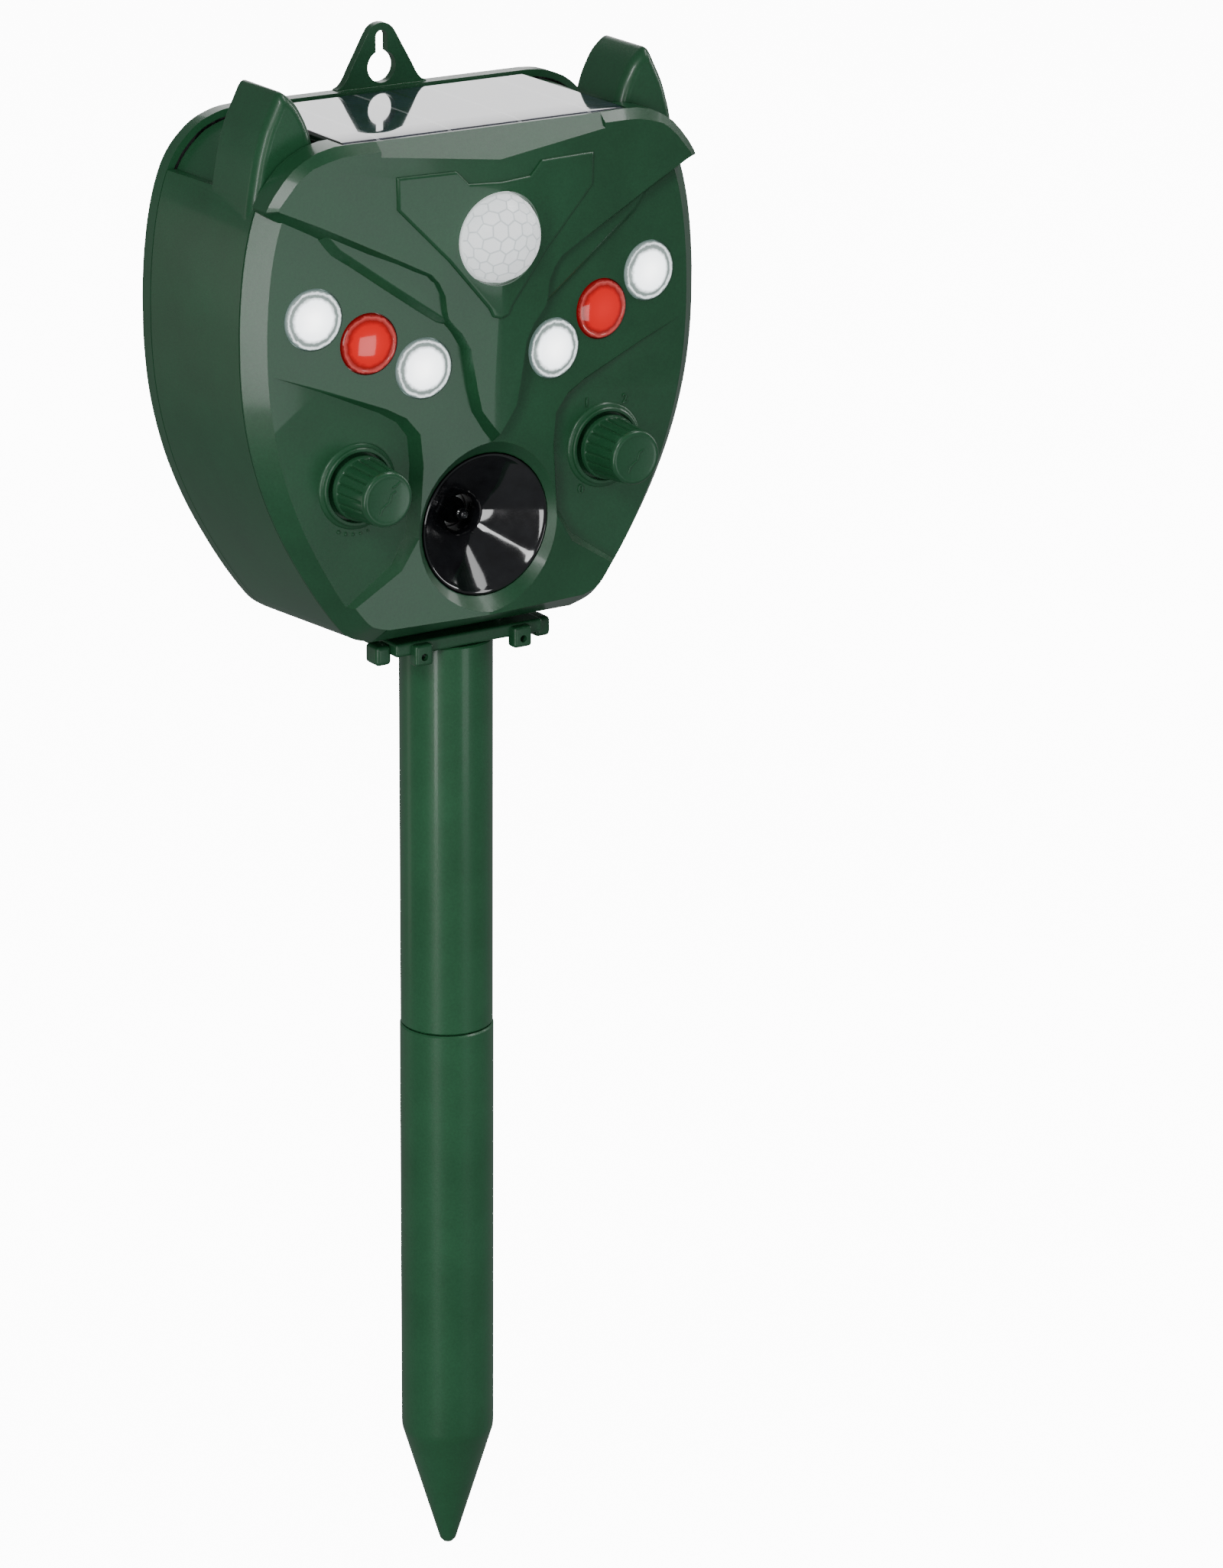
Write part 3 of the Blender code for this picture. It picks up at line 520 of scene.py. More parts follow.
def glossy_black():
    finish = Finish("glossy black plastic", IOR=1.52, Coat_Roughness=0.04)
    haze = finish.noise(240.0, 3.0, 0.6)
    fine = finish.noise(2600.0)
    color = finish.ramp(haze, (0.3, rgb(0.004, 0.004, 0.005)), (0.7, rgb(0.010, 0.011, 0.013)))
    return finish.feed(Base_Color=color, Roughness=haze * 0.10 + 0.04, Coat_Weight=0.6,
                       Normal=finish.bump(fine, 0.03, 0.00005))


def matt_black(name, roughness, scale):
    finish = Finish(name)
    cloud = finish.noise(90.0, 3.0)
    fine = finish.noise(scale, 3.0, 0.7)
    color = finish.ramp(cloud, (0.3, rgb(0.010, 0.010, 0.011)), (0.7, rgb(0.024, 0.024, 0.025)))
    return finish.feed(Base_Color=color, Roughness=fine * 0.16 + (roughness - 0.08),
                       Normal=finish.bump(fine, 0.35, 0.0001))


def clear_plastic(name, glow, tint, strength):
    """Clear lens over a lit lamp: bright in the middle, greyer at the rim."""
    finish = Finish(name, IOR=1.49, Coat_Roughness=0.03)
    reach = Value(finish, finish.node('ShaderNodeAttribute', {"attribute_name": "reach"}).outputs["Fac"])
    grain = finish.noise(620.0, 4.0, 0.7)
    lit = finish.ramp(reach + (grain - 0.5) * 0.16, *glow)
    color = finish.ramp(reach, (0.0, tint), (1.0, rgb(*(c * 0.7 for c in tint[:3]))))
    finish.shader.inputs["Emission Strength"].default_value = strength
    return finish.feed(Base_Color=color, Emission_Color=lit, Roughness=grain * 0.08 + 0.05, Coat_Weight=0.5,
                       Normal=finish.bump(grain, 0.06, 0.0001))


def milky_plastic():
    finish = Finish("milky lens plastic", IOR=1.5, Subsurface_Weight=0.35, Subsurface_Scale=0.002)
    finish.shader.inputs["Subsurface Radius"].default_value = (1.0, 1.0, 1.0)
    cloud = finish.noise(160.0, 3.0)
    seams = Value(finish, finish.node('ShaderNodeAttribute', {"attribute_name": "seams"}).outputs["Fac"])
    white = finish.ramp(cloud, (0.3, rgb(0.86, 0.90, 0.91)), (0.7, rgb(0.92, 0.95, 0.96)))
    # Painted shade: the grooves between the facets are greyed where shade falls in them
    color = finish.blend(seams * 0.75, white, rgb(0.38, 0.44, 0.45))
    # Painted light: the motion lens is no lamp, and this emission only makes its white read brighter
    finish.shader.inputs["Emission Strength"].default_value = 0.75
    return finish.feed(Base_Color=color, Emission_Color=color, Roughness=cloud * 0.1 + 0.27, Coat_Weight=0.15)


def solar_face():
    """Cells under a thick clear resin, dark from above and bright at a low angle."""
    finish = Finish("solar cells under resin", IOR=1.65, Coat_IOR=1.7, Coat_Roughness=0.02)
    where = finish.place()
    axes = finish.node('ShaderNodeSeparateXYZ', None, {"Vector": where})
    across = Value(finish, axes.outputs[0])
    along = Value(finish, axes.outputs[1])
    grains = finish.node('ShaderNodeTexVoronoi', None, {"Vector": where, "Scale": 420.0}).outputs["Color"]
    crystal = finish.ramp(grains, (0.2, rgb(0.006, 0.009, 0.030)), (0.8, rgb(0.016, 0.024, 0.062)))

    def lines(axis, pitch, width, shift=0.0):
        wave = finish.number('ShaderNodeMath', {"operation": 'PINGPONG'}, {0: axis + shift, 1: pitch / 2.0})
        return wave < width

    busbars = lines(across, 0.0200, 0.00045, 0.010)
    fingers = lines(along, 0.0020, 0.00009)
    gaps = lines(across, 0.0400, 0.0004)
    color = finish.blend(fingers * 0.35, crystal, rgb(0.35, 0.36, 0.38))
    color = finish.blend(busbars * 0.8, color, rgb(0.45, 0.46, 0.48))
    color = finish.blend(gaps, color, rgb(0.004, 0.004, 0.005))
    wavy = finish.noise(30.0, 2.0)
    return finish.feed(Base_Color=color, Roughness=wavy * 0.06 + 0.05, Coat_Weight=1.0,
                       Normal=finish.bump(wavy, 0.05, 0.0005))


def bright_steel():
    finish = Finish("plated steel", Metallic=1.0)
    turned_marks = finish.noise(900.0, 3.0, 0.6, (1.0, 1.0, 0.15))
    cloud = finish.noise(120.0, 3.0)
    color = finish.ramp(cloud, (0.3, rgb(0.48, 0.48, 0.47)), (0.7, rgb(0.66, 0.66, 0.66)))
    return finish.feed(Base_Color=color, Roughness=cloud * 0.15 + 0.22,
                       Normal=finish.bump(turned_marks, 0.15, 0.0001))


def green_board():
    finish = Finish("circuit board", IOR=1.5)
    where = finish.place()
    tracks = finish.node('ShaderNodeTexBrick', None, {"Vector": where, "Scale": 220.0,
                                                      "Color1": rgb(0.010, 0.085, 0.030),
                                                      "Color2": rgb(0.014, 0.110, 0.040),
                                                      "Mortar": rgb(0.050, 0.200, 0.070),
                                                      "Mortar Size": 0.03})
    fine = finish.noise(900.0)
    return finish.feed(Base_Color=tracks.outputs["Color"], Roughness=fine * 0.15 + 0.30,
                       Normal=finish.bump(tracks.outputs["Fac"], 0.2, 0.0001))


def shrink_wrap():
    finish = Finish("shrink wrap")
    axes = finish.node('ShaderNodeSeparateXYZ', None, {"Vector": finish.place()})
    along = Value(finish, axes.outputs[0])
    wrinkles = finish.noise(160.0, 4.0, 0.6, (0.3, 1.0, 1.0))
    color = finish.blend((along > 0.027), rgb(0.03, 0.13, 0.42), rgb(0.55, 0.56, 0.58))
    return finish.feed(Base_Color=color, Roughness=wrinkles * 0.2 + 0.22,
                       Normal=finish.bump(wrinkles, 0.25, 0.0003))


def lamp_glow(name, color):
    """Encapsulated diode that is lit."""
    finish = Finish(name, Roughness=0.15, IOR=1.5, Emission_Strength=2.5)
    cloud = finish.noise(700.0)
    glow = finish.ramp(cloud, (0.3, color), (0.7, rgb(*(min(1.0, c * 1.15 + 0.02) for c in color[:3]))))
    return finish.feed(Base_Color=glow, Emission_Color=glow)


def pale_floor():
    finish = Finish("pale floor", Roughness=0.9)
    cloud = finish.noise(3.0, 2.0)
    color = finish.ramp(cloud, (0.3, rgb(0.90, 0.90, 0.90)), (0.7, rgb(0.93, 0.93, 0.93)))
    finish.shader.inputs["Emission Strength"].default_value = FLOOR_GLOW
    return finish.feed(Base_Color=color, Emission_Color=color)


# ======== camera, floor and light ========
def aim_camera():
    camera = bpy.data.objects.new("camera", bpy.data.cameras.new("camera"))
    bpy.context.scene.collection.objects.link(camera)
    forward = Vector((0.52158, 0.78903, -0.32464)).normalized()
    right = Vector((0.83421, -0.55145, 0.0)).normalized()
    up = right.cross(forward)
    roll = math.radians(-0.4516)
    across = right * math.cos(roll) - up * math.sin(roll)
    upward = right * math.sin(roll) + up * math.cos(roll)
    turn = Matrix((across, upward, -forward)).transposed()
    camera.matrix_world = Matrix.Translation(Vector((-704.8, -1142.2, 673.6)) * MM) @ turn.to_4x4()
    camera.data.lens = 128.40
    camera.data.sensor_width = 36.0
    camera.data.clip_end = 20.0
    bpy.context.scene.camera = camera


def soft_box(name, place, height, size, power, color=(1.0, 1.0, 1.0)):
    """An area light aimed at a height on the middle axis."""
    light = bpy.data.lights.new(name, 'AREA')
    light.shape = 'RECTANGLE'
    light.size = size[0]
    light.size_y = size[1]
    light.energy = power
    light.color = color
    holder = bpy.data.objects.new(name, light)
    holder.location = place
    holder.rotation_euler = (Vector((0.0, 0.0, height)) - Vector(place)).to_track_quat('-Z', 'Y').to_euler()
    bpy.context.scene.collection.objects.link(holder)


def lay_floor():
    bpy.ops.object.select_all(action='DESELECT')
    bpy.ops.mesh.primitive_plane_add(size=30.0)
    floor = bpy.context.object
    floor.name = "floor"
    floor.data.materials.append(pale_floor())
    floor.visible_diffuse = False
    floor.visible_glossy = False
    floor.visible_shadow = False


def light_studio():
    soft_box("left strip light", (-1.50, -1.00, 0.30), 0.34, (0.26, 1.4), 11.0)
    soft_box("front left light", (-1.0, -1.0, 1.25), 0.36, (0.4, 0.4), 7.0)
    soft_box("low front light", (0.41, -1.37, -0.05), 0.35, (0.42, 0.42), 1.5, (0.90, 1.0, 0.98))
    soft_box("right light", (1.6, -0.2, 0.7), 0.30, (0.25, 0.9), 4.5)
    soft_box("horn light", (0.85, -0.68, 1.40), 0.29, (0.4, 0.4), 2.6)
    soft_box("top light", (0.90, -0.28, 1.65), 0.38, (0.3, 0.3), 3.6)
    soft_box("stake light", (-0.55, -1.45, 0.35), 0.12, (0.25, 0.6), 1.6)
    soft_box("left side light", (-1.3, 1.3, 0.0), 0.3, (0.4, 1.0), 0.9, (1.0, 0.98, 0.92))
    soft_box("panel light", (0.9, 1.36, 0.94), 0.387, (1.3, 0.8), 7.0)
    world = bpy.data.worlds.new("studio")
    world.use_nodes = True
    world.node_tree.nodes["Background"].inputs["Color"].default_value = rgb(0.95, 0.97, 1.0)
    world.node_tree.nodes["Background"].inputs["Strength"].default_value = 0.21
    bpy.context.scene.world = world


# ======== head shells ========
def halved(name, *rings):
    """Loft right halves through their depths and mirror the result."""
    return mirror_half(loft(name, rings))


def ear(side):
    """An ear with a generously rounded front edge."""
    corners = [(61.6, 366.0), (61.2, 371.0), (60.3, 376.2), (59.1, 382.5), (57.0, 389.4), (52.2, 399.0),
               (47.6, 395.2), (44.6, 389.6), (42.8, 383.6), (42.6, 376.0), (42.6, 368.0)]
    levels = [(8.3, 0.7), (8.1, 0.25), (7.5, 0.0), (-8.7, 0.0)]
    levels += [(-8.7 - 3.0 * math.sin(turn), 2.7 * (1.0 - math.cos(turn)))
               for turn in (math.radians(15.0 * i) for i in range(1, 7))]
    rings = []
    for depth, drawn_in in levels:
        ring = offset(corners, -drawn_in)
        ring = rounded(ring, 2.2, 4)
        rings.append([(x * side, depth, z) for x, z in ring])
    return loft("ear", rings)


def tray():
    """The pocket between the ears that the solar panel lies in."""
    return block("tray", (-40.5, -19.5, 383.8), (40.5, 27.7, 400.0))


def dome_opening():
    """Where the motion lens comes through, made as a closed section."""
    radius = PIR_RADIUS + 0.35
    section = [(0, 5.0), (0, 40.0), (radius, 40.0), (radius, 5.0)]
    return spun("dome_opening", section, facing_front(0.0, PIR_Z), 72)


def make_housing():
    rear_ring = half_outline()
    front_ring = half_outline(0.0, FRONT_DRAFT)
    body = halved("main_shell", at(rear_ring, HOUSING_REAR), at(front_ring, HOUSING_FRONT + GAP))
    step = halved("shoulders", at(half_outline(SHOULDER_STEP), HOUSING_REAR + 20.0),
                  at(half_outline(SHOULDER_STEP, STEP_DRAFT), HOUSING_FRONT - 20.0))
    above = block("above", (-90.0, HOUSING_FRONT - 9.0, SHOULDER_LINE), (90.0, HOUSING_REAR + 9.0, 420.0))
    cut(body, cut(above, step))
    cavity = halved("cavity", at(half_outline(WALL), HOUSING_REAR + 5.0),
                    at(half_outline(WALL, FRONT_DRAFT - 0.004), HOUSING_FRONT - 5.0))
    cap = block("cavity_cap", (-90.0, -40.0, 379.5), (90.0, 60.0, 430.0))
    cut(cavity, cap)
    join(body, ear(-1.0), ear(1.0))
    cut(body, cavity)
    cut(body, tray())
    round_edges(body, 0.35, 2, 42.0, lambda edge: min(v.co.z for v in edge.verts) > 0.3
                and max(v.co.y for v in edge.verts) > -0.011)
    return ready(body, "housing_shell", "head", GREEN_SHELL, "shell_green", "main_housing")


# ---- outlines of the face, right half or right side (mm) ----
BROW_EDGES = [  # (where the brow meets what is under it, its front edge)
    ((0.0, 386.0), (0.0, 383.9)), ((32.0, 386.0), (31.0, 383.9)), ((38.0, 386.1), (37.0, 383.8)),
    ((43.0, 385.9), (42.0, 383.6)), ((47.5, 384.9), (46.0, 382.7)), ((51.2, 383.1), (49.8, 381.5)),
    ((54.0, 381.3), (52.0, 380.0)), ((56.3, 379.0), (54.3, 378.0)), ((58.9, 375.9), (56.7, 375.2)),
    ((60.7, 373.2), (58.5, 373.1)), ((61.2, 372.0), (58.9, 372.3)), ((60.6, 371.0), (58.3, 371.9)),
    ((58.6, 369.5), (56.9, 371.3)), ((49.8, 365.0), (48.4, 367.5)), ((44.6, 362.1), (43.1, 364.9)),
    ((27.2, 354.6), (26.2, 356.5)), ((19.0, 350.9), (18.6, 352.6)), ((17.4, 350.0), (16.5, 350.2)),
    ((15.9, 347.2), (14.9, 346.9)), ((15.6, 343.0), (14.4, 343.0)), ((15.0, 341.3), (14.0, 341.2)),
    ((13.2, 338.9), (12.4, 339.2)), ((11.2, 336.4), (10.3, 337.0)), ((8.9, 332.6), (8.0, 332.9)),
    ((8.4, 329.4), (7.4, 329.6)), ((7.3, 322.1), (6.1, 322.3)), ((5.7, 315.8), (4.9, 317.0)),
    ((2.5, 310.6), (2.1, 313.2)), ((0.0, 307.4), (0.0, 310.6))]
LEDGE_BASE = [(46.6, 363.4), (44.9, 361.2), (43.2, 359.2), (38.9, 356.3), (28.8, 349.0), (20.0, 342.8),
              (15.2, 339.6), (13.4, 339.0), (12.0, 341.0), (15.0, 351.0), (30.0, 359.0), (44.0, 366.0)]
LEDGE_FRONT = [(45.0, 364.4), (43.4, 362.4), (41.9, 360.7), (38.0, 357.9), (27.9, 350.6), (19.2, 344.4),
               (14.6, 341.2), (13.0, 340.4), (11.6, 341.6), (15.0, 352.0), (30.0, 360.0), (43.0, 366.6)]
MASK_EDGE = [(0.0, 373.6), (8.9, 374.0), (12.2, 377.4), (28.0, 377.4), (27.8, 369.3), (14.2, 355.4),
             (3.3, 342.4), (2.2, 340.2), (0.0, 339.6)]
MASK_FRONT = [(0.0, 373.1), (8.6, 373.5), (11.9, 376.9), (27.5, 376.9), (27.3, 369.5), (13.8, 355.8),
              (3.0, 342.8), (2.0, 340.7), (0.0, 340.1)]
DIAL_EDGE = [(60.5, 331.8), (46.3, 325.9), (29.5, 318.2), (24.6, 315.2), (21.6, 311.3), (20.9, 304.0),
             (22.0, 286.5), (26.2, 279.4), (41.0, 269.2), (50.0, 260.0), (84.0, 266.0), (84.0, 335.0)]
BROW_WALL = 11             # how many of the brow's edges stand on its straight outer wall


def mirror_pair(piece):
    """Copy a right-hand shape to the left, inside the same mesh."""
    step = piece.modifiers.new("other side", 'MIRROR')
    step.use_mirror_merge = False
    apply(piece, step)
    with Editing(piece) as work:
        work.tidy()
    return piece


def make_face():
    outer = half_outline(0.0, FRONT_DRAFT)
    face = halved("face_plate", at(outer, HOUSING_FRONT), at(outer, HOUSING_FRONT - GAP),
                  at(half_outline(5.0, FRONT_DRAFT), FACE))
    cut(face, block("above_face", (-90.0, -60.0, 380.5), (90.0, 10.0, 430.0)))
    round_edges(face, 0.7, 3, 20.0, lambda edge: max(v.co.y for v in edge.verts) < -0.0119
                and max(v.co.z for v in edge.verts) < 0.3795 and max(abs(v.co.x) for v in edge.verts) > 0.001)
    round_edges(face, 1.1, 3, 5.0, lambda edge: all(abs(v.co.x) < 1e-6 and v.co.y < -0.015
                                                    for v in edge.verts))
    for _, side in SIDES:
        floor = [(x * side, z) for x, z in DIAL_EDGE]
        recess = loft("dial_recess", [at(floor, DIAL_FLOOR), at(offset(floor, 8.4), DIAL_FLOOR - 12.6)])
        round_edges(recess, 1.6, 4, 50.0, lambda edge: abs(edge.verts[0].co.y - edge.verts[1].co.y) > 0.006
                    and abs(edge.verts[0].co.x) < 0.060)
        cut(face, recess)
        well = [(0, -DIAL_FLOOR + 9.0), (DIAL_WELL, -DIAL_FLOOR + 9.0), (DIAL_WELL, -DIAL_FLOOR - 0.2),
                (3.4, -DIAL_FLOOR - 0.2), (3.4, 0.0), (0, 0.0)]
        cut(face, spun("dial_well", well, facing_front(KNOB_X * side, KNOB_Z), 64))
        tilt = math.atan(FACE[1]) * side
        for x, z in zip(LAMP_X, LAMP_Z):
            cut(face, rod("lamp_hole", LAMP_HOLE, -12.3, 8.0, on_face(x * side, z, tilt), 64))
    round_edges(face, 0.35, 2, 30.0, lambda edge: all(-0.0245 < v.co.y < -0.0166 for v in edge.verts)
                and math.hypot(edge.verts[0].co.x, edge.verts[0].co.z - 0.286) > 0.0225
                and edge.calc_length() > 0.0003 and abs(edge.verts[0].co.x) > 0.012
                and min(math.hypot(abs(edge.verts[0].co.x) - x * MM, edge.verts[0].co.z - z * MM)
                        for x, z in list(zip(LAMP_X, LAMP_Z)) + [(KNOB_X, KNOB_Z)]) > 0.0092)
    flare = [(0, 40.0), (42.0, 40.0), (HORN_RADIUS + 0.9, -HORN_RIM - 0.2), (HORN_RADIUS + 0.9, 8.0),
             (0, 8.0)]
    cut(face, spun("horn_opening", flare, facing_front(0.0, SPEAKER_Z), 40))
    cut(face, dome_opening())
    return ready(face, "face_plate", "head", GREEN_SHELL, "shell_green", "front_cover")


def brow_rings():
    behind = [(x, -12.4, z) for (x, z), _ in BROW_EDGES]
    middle = [(x, (-22.0 + 0.05 * x) if i < BROW_WALL else FACE[0] + FACE[1] * x + 0.5, z)
              for i, ((x, z), _) in enumerate(BROW_EDGES)]
    front = at([edge for _, edge in BROW_EDGES], BROW)
    return behind, middle, front


def make_brow():
    brow = halved("brow", *brow_rings())
    crest = block("crest", (-31.8, -70.0, 0.0), (31.8, 10.0, 60.0))
    lean = Matrix.Rotation(math.atan(1.38), 4, 'X')
    crest.data.transform(Matrix.Translation(Vector((0.0, *CREST)) * MM) @ lean)
    cut(brow, crest)
    round_edges(brow, 0.75, 4, 24.0, lambda edge: max(v.co.y for v in edge.verts) < -0.0126
                and edge.calc_length() > 0.0006)
    cut(brow, dome_opening())
    cut(brow, tray())
    return ready(brow, "brow", "head", GREEN_SHELL, "shell_green", "front_cover")


def make_ledge():
    ledge = loft("ledge", [at(LEDGE_BASE, lower(FACE, 1.5)), at(LEDGE_BASE, lower(FACE, -0.1)),
                           at(LEDGE_FRONT, LEDGE)])
    round_edges(ledge, 0.55, 4, 24.0, lambda edge: max(v.co.y for v in edge.verts) < -0.0185
                and edge.calc_length() > 0.0006)
    return ready(mirror_pair(ledge), "brow_ledges", "head", GREEN_SHELL, "shell_green", "front_cover")


def make_mask():
    mask = halved("mask", at(MASK_EDGE, lower(BROW, 0.6)), at(MASK_EDGE, lower(BROW, -0.35)),
                  at(MASK_FRONT, MASK))
    round_edges(mask, 0.3, 3, 24.0, lambda edge: max(v.co.y for v in edge.verts) < -0.0232
                and edge.calc_length() > 0.0006)
    cut(mask, dome_opening())
    return ready(mask, "sensor_surround", "head", GREEN_SHELL, "shell_green", "front_cover")


def make_panel():
    levels = [(384.2, -19.1, 0.2), (385.3, -19.1, 0.2), (385.75, -18.9, 0.25), (386.0, -18.2, 0.35),
              (386.2, -17.0, 0.5), (386.35, -15.2, 0.75), (386.45, -13.0, 1.1), (386.5, -10.5, 1.5)]
    panel = loft("solar_panel", [[(x * (40.2 - edge), y, height) for x, y in
                                  ((-1, front), (1, front), (1, 27.4 - edge), (-1, 27.4 - edge))]
                                 for height, front, edge in levels])
    return ready(panel, "panel_plate", "head", SOLAR, "solar_cells", "solar_panel")


def make_rear_cover():
    rim = half_outline()
    cover = halved("rear_plate", at(rim, COVER_FRONT), at(rim, REAR_FACE))
    half_tab = [(0.0, 402.9), (1.2, 402.75), (2.4, 402.2), (3.3, 401.4), (4.1, 400.2), (6.6, 395.8),
                (9.0, 391.6), (9.7, 390.2), (10.6, 388.8), (11.6, 387.8), (12.9, 387.2), (12.9, 383.0)]
    edge = both_sides(half_tab)
    join(cover, loft("tab", [at(edge, REAR_FACE), at(edge, REAR_FACE - 2.4)]))
    round_edges(cover, 0.5, 3, 50.0)
    lip = halved("lip", at(rim, HOUSING_REAR + GAP), at(rim, COVER_FRONT + 0.6))
    inner = half_outline(LIP_WIDTH)
    cut(lip, halved("lip_hole", at(inner, HOUSING_REAR - 3.0), at(inner, COVER_FRONT + 3.0)))
    join(cover, lip)
    eye = rod("eye", 4.05, -REAR_FACE - 5.0, -20.0, facing_front(0.0, EYE_Z), 48)
    slot = block("slot", (-1.7, 20.0, EYE_Z), (1.7, 40.0, EYE_Z + 7.5))
    slot_end = rod("slot_end", 1.7, -REAR_FACE - 5.0, -20.0, facing_front(0.0, EYE_Z + 7.4), 32)
    cut(cover, eye, slot, slot_end)
    for x, z in SCREWS:
        front, rear = -COVER_FRONT, -REAR_FACE
        sink = [(0, front + 3.0), (1.6, front + 3.0), (1.6, rear + 1.6), (3.2, rear + 1.6), (3.4, rear + 0.2),
                (3.9, rear - 0.4), (3.9, rear - 2.0), (0, rear - 2.0)]
        cut(cover, spun("sink", sink, facing_front(x, z), 40))
    cut(cover, block("flap_pocket", (-31.2, REAR_FACE - 2.0, 265.2), (-16.8, REAR_FACE + 3.0, 282.4)),
        block("socket_window", (-29.4, 20.0, 269.0), (-18.6, 40.0, 275.0)),
        rod("peg_hole", 1.3, -40.0, -20.0, facing_front(-24.0, 280.2), 24))
    return ready(cover, "rear_shell", "head", GREEN_SHELL, "shell_green", "rear_cover")


SCREWS = ((-60.3, 347.0), (60.3, 347.0), (-43.6, 275.5), (43.6, 275.5))


def phillips_screw(name, node, place, head_top, seat, length):
    """Pan head screw with a cross recess, head up along the local Z."""
    profile = [(0, seat - length), (0.5, seat - length), (1.3, seat - length + 1.4), (1.3, seat),
               (2.9, seat), (2.9, seat + 0.35), (2.75, seat + 0.8), (2.35, head_top - 0.12),
               (1.7, head_top), (0, head_top)]
    screw = spun(name, profile, place, 40)
    for turn in (0.0, 90.0):
        blade = block("blade", (-1.75, -0.28, head_top - 0.8), (1.75, 0.28, head_top + 1.0))
        blade.data.transform(place @ Matrix.Rotation(math.radians(turn + 20.0), 4, 'Z'))
        cut(screw, blade)
    return ready(screw, name, "head", STEEL, "steel", node)


def make_rear_screws():
    for index, (x, z) in enumerate(SCREWS, 1):
        place = Matrix.Translation(Vector((x, 0.0, z)) * MM) @ Matrix.Rotation(math.radians(-90.0), 4, 'X')
        phillips_screw("rear_screw_head_%d" % index, "rear_screw_%d" % index, place, REAR_FACE - 0.25,
                       REAR_FACE - 1.3, 17.0)


def make_bracket_screws():
    for name, side in SIDES:
        place = Matrix.Translation(Vector((BRACKET_SCREW[0] * side, BRACKET_SCREW[1], 0.0)) * MM)
        place = place @ Matrix.Rotation(math.pi, 4, 'X')
        phillips_screw("stake_screw_" + name, "bracket_screw_" + name, place, -251.3, -252.6, 11.0)


def make_stake():
    point = [(0, 47.8), (10.2, 47.8), (10.2, 148.6), (11.7, 148.6), (12.1, 148.2), (12.1, 36.4),
             (12.06, 35.2), (11.9, 34.2), (11.6, 33.2), (2.5, 2.6), (2.1, 1.3), (1.3, 0.4), (0.5, 0.05),
             (0, 0.05)]
    lower_tube = spun("stake_point", point, None, 96)
    ready(lower_tube, "stake_point", "stake", LIGHTENED_STAKE_GREEN, "stake_green", "stake_lower")
    tube = [(9.9, 252.6), (11.5, 252.6), (11.9, 252.2), (11.9, 149.3), (11.6, 148.9), (9.9, 148.9),
            (9.9, 126.4), (8.9, 124.9), (7.9, 124.9), (7.9, 148.9), (9.9, 151.9)]
    upper = spun("stake_tube", tube, None, 96)
    ready(upper, "stake_tube", "upper_stake", LIGHTENED_STAKE_GREEN, "stake_green", "stake_upper")


def make_bracket():
    body = block("mount_flange", (-21.5, -11.5, 252.9), (21.5, 15.0, 256.3), 0.7, 3)
    plug = spun("plug", [(0, 228.6), (8.1, 228.6), (9.6, 230.1), (9.6, 255.6), (0, 255.6)], None, 64)
    join(body, plug)
    for side in (-1.0, 1.0):
        lug = block("lug", (14.5 * side - 2.6, -13.6, 250.3), (14.5 * side + 2.6, -10.0, 255.8), 0.8, 3)
        hook = block("hook", (23.4 * side - 2.2, -9.0, 250.5), (23.4 * side + 2.2, -3.0, 255.6), 1.1, 4)
        join(body, lug, hook)
        eye = rod("eye", 0.95, -10.0, 20.0, facing_front(14.5 * side, 252.6), 24)
        screw_axis = Matrix.Translation(Vector((BRACKET_SCREW[0] * side, BRACKET_SCREW[1], 0.0)) * MM)
        hole = rod("hole", 1.7, 245.0, 262.0, screw_axis, 24)
        cut(body, eye, hole)
    return ready(body, "mount_bracket", "head", GREEN_SHELL, "shell_green", "stake_bracket")


def make_horn():
    rim = -HORN_RIM
    bell = [(HORN_RADIUS, rim), (17.65, rim + 0.12), (17.9, rim), (17.9, rim - 2.6), (9.0, rim - 13.4),
            (6.2, rim - 15.6), (6.2, rim - 16.6), (4.6, rim - 16.6), (4.6, rim - 13.0), (4.9, rim - 11.6),
            (5.7, rim - 10.5), (8.0, rim - 8.4), (11.0, rim - 5.75), (14.0, rim - 3.1), (16.2, rim - 1.2),
            (17.0, rim - 0.4)]
    horn = spun("horn_bell", bell, facing_front(0.0, SPEAKER_Z), 96)
    ready(horn, "horn_bell", "head", HORN, "horn_black", "speaker_horn")
    back = rim - 16.9
    cap = [(0, rim - 9.4), (0.5, rim - 9.45), (0.9, rim - 9.7), (1.2, rim - 10.2), (1.2, rim - 10.8),
           (1.5, rim - 11.1), (1.5, rim - 13.0), (2.0, rim - 14.2), (3.4, rim - 15.4), (3.4, back), (0, back)]
    plug = spun("phase_plug", cap, facing_front(0.0, SPEAKER_Z), 48)
    ready(plug, "phase_plug", "head", HORN, "horn_black", "speaker_plug")


def fluted_ring(radius, depth, height, count=18, points=216, sharp=9.0):
    """A ring of (x, y, z) points whose radius dips at each flute."""
    ring = []
    for i in range(points):
        angle = 2 * math.pi * i / points
        wave = (0.5 + 0.5 * math.cos(count * angle)) ** sharp
        reach = radius - depth * wave
        ring.append((reach * math.cos(angle), reach * math.sin(angle), height))
    return ring


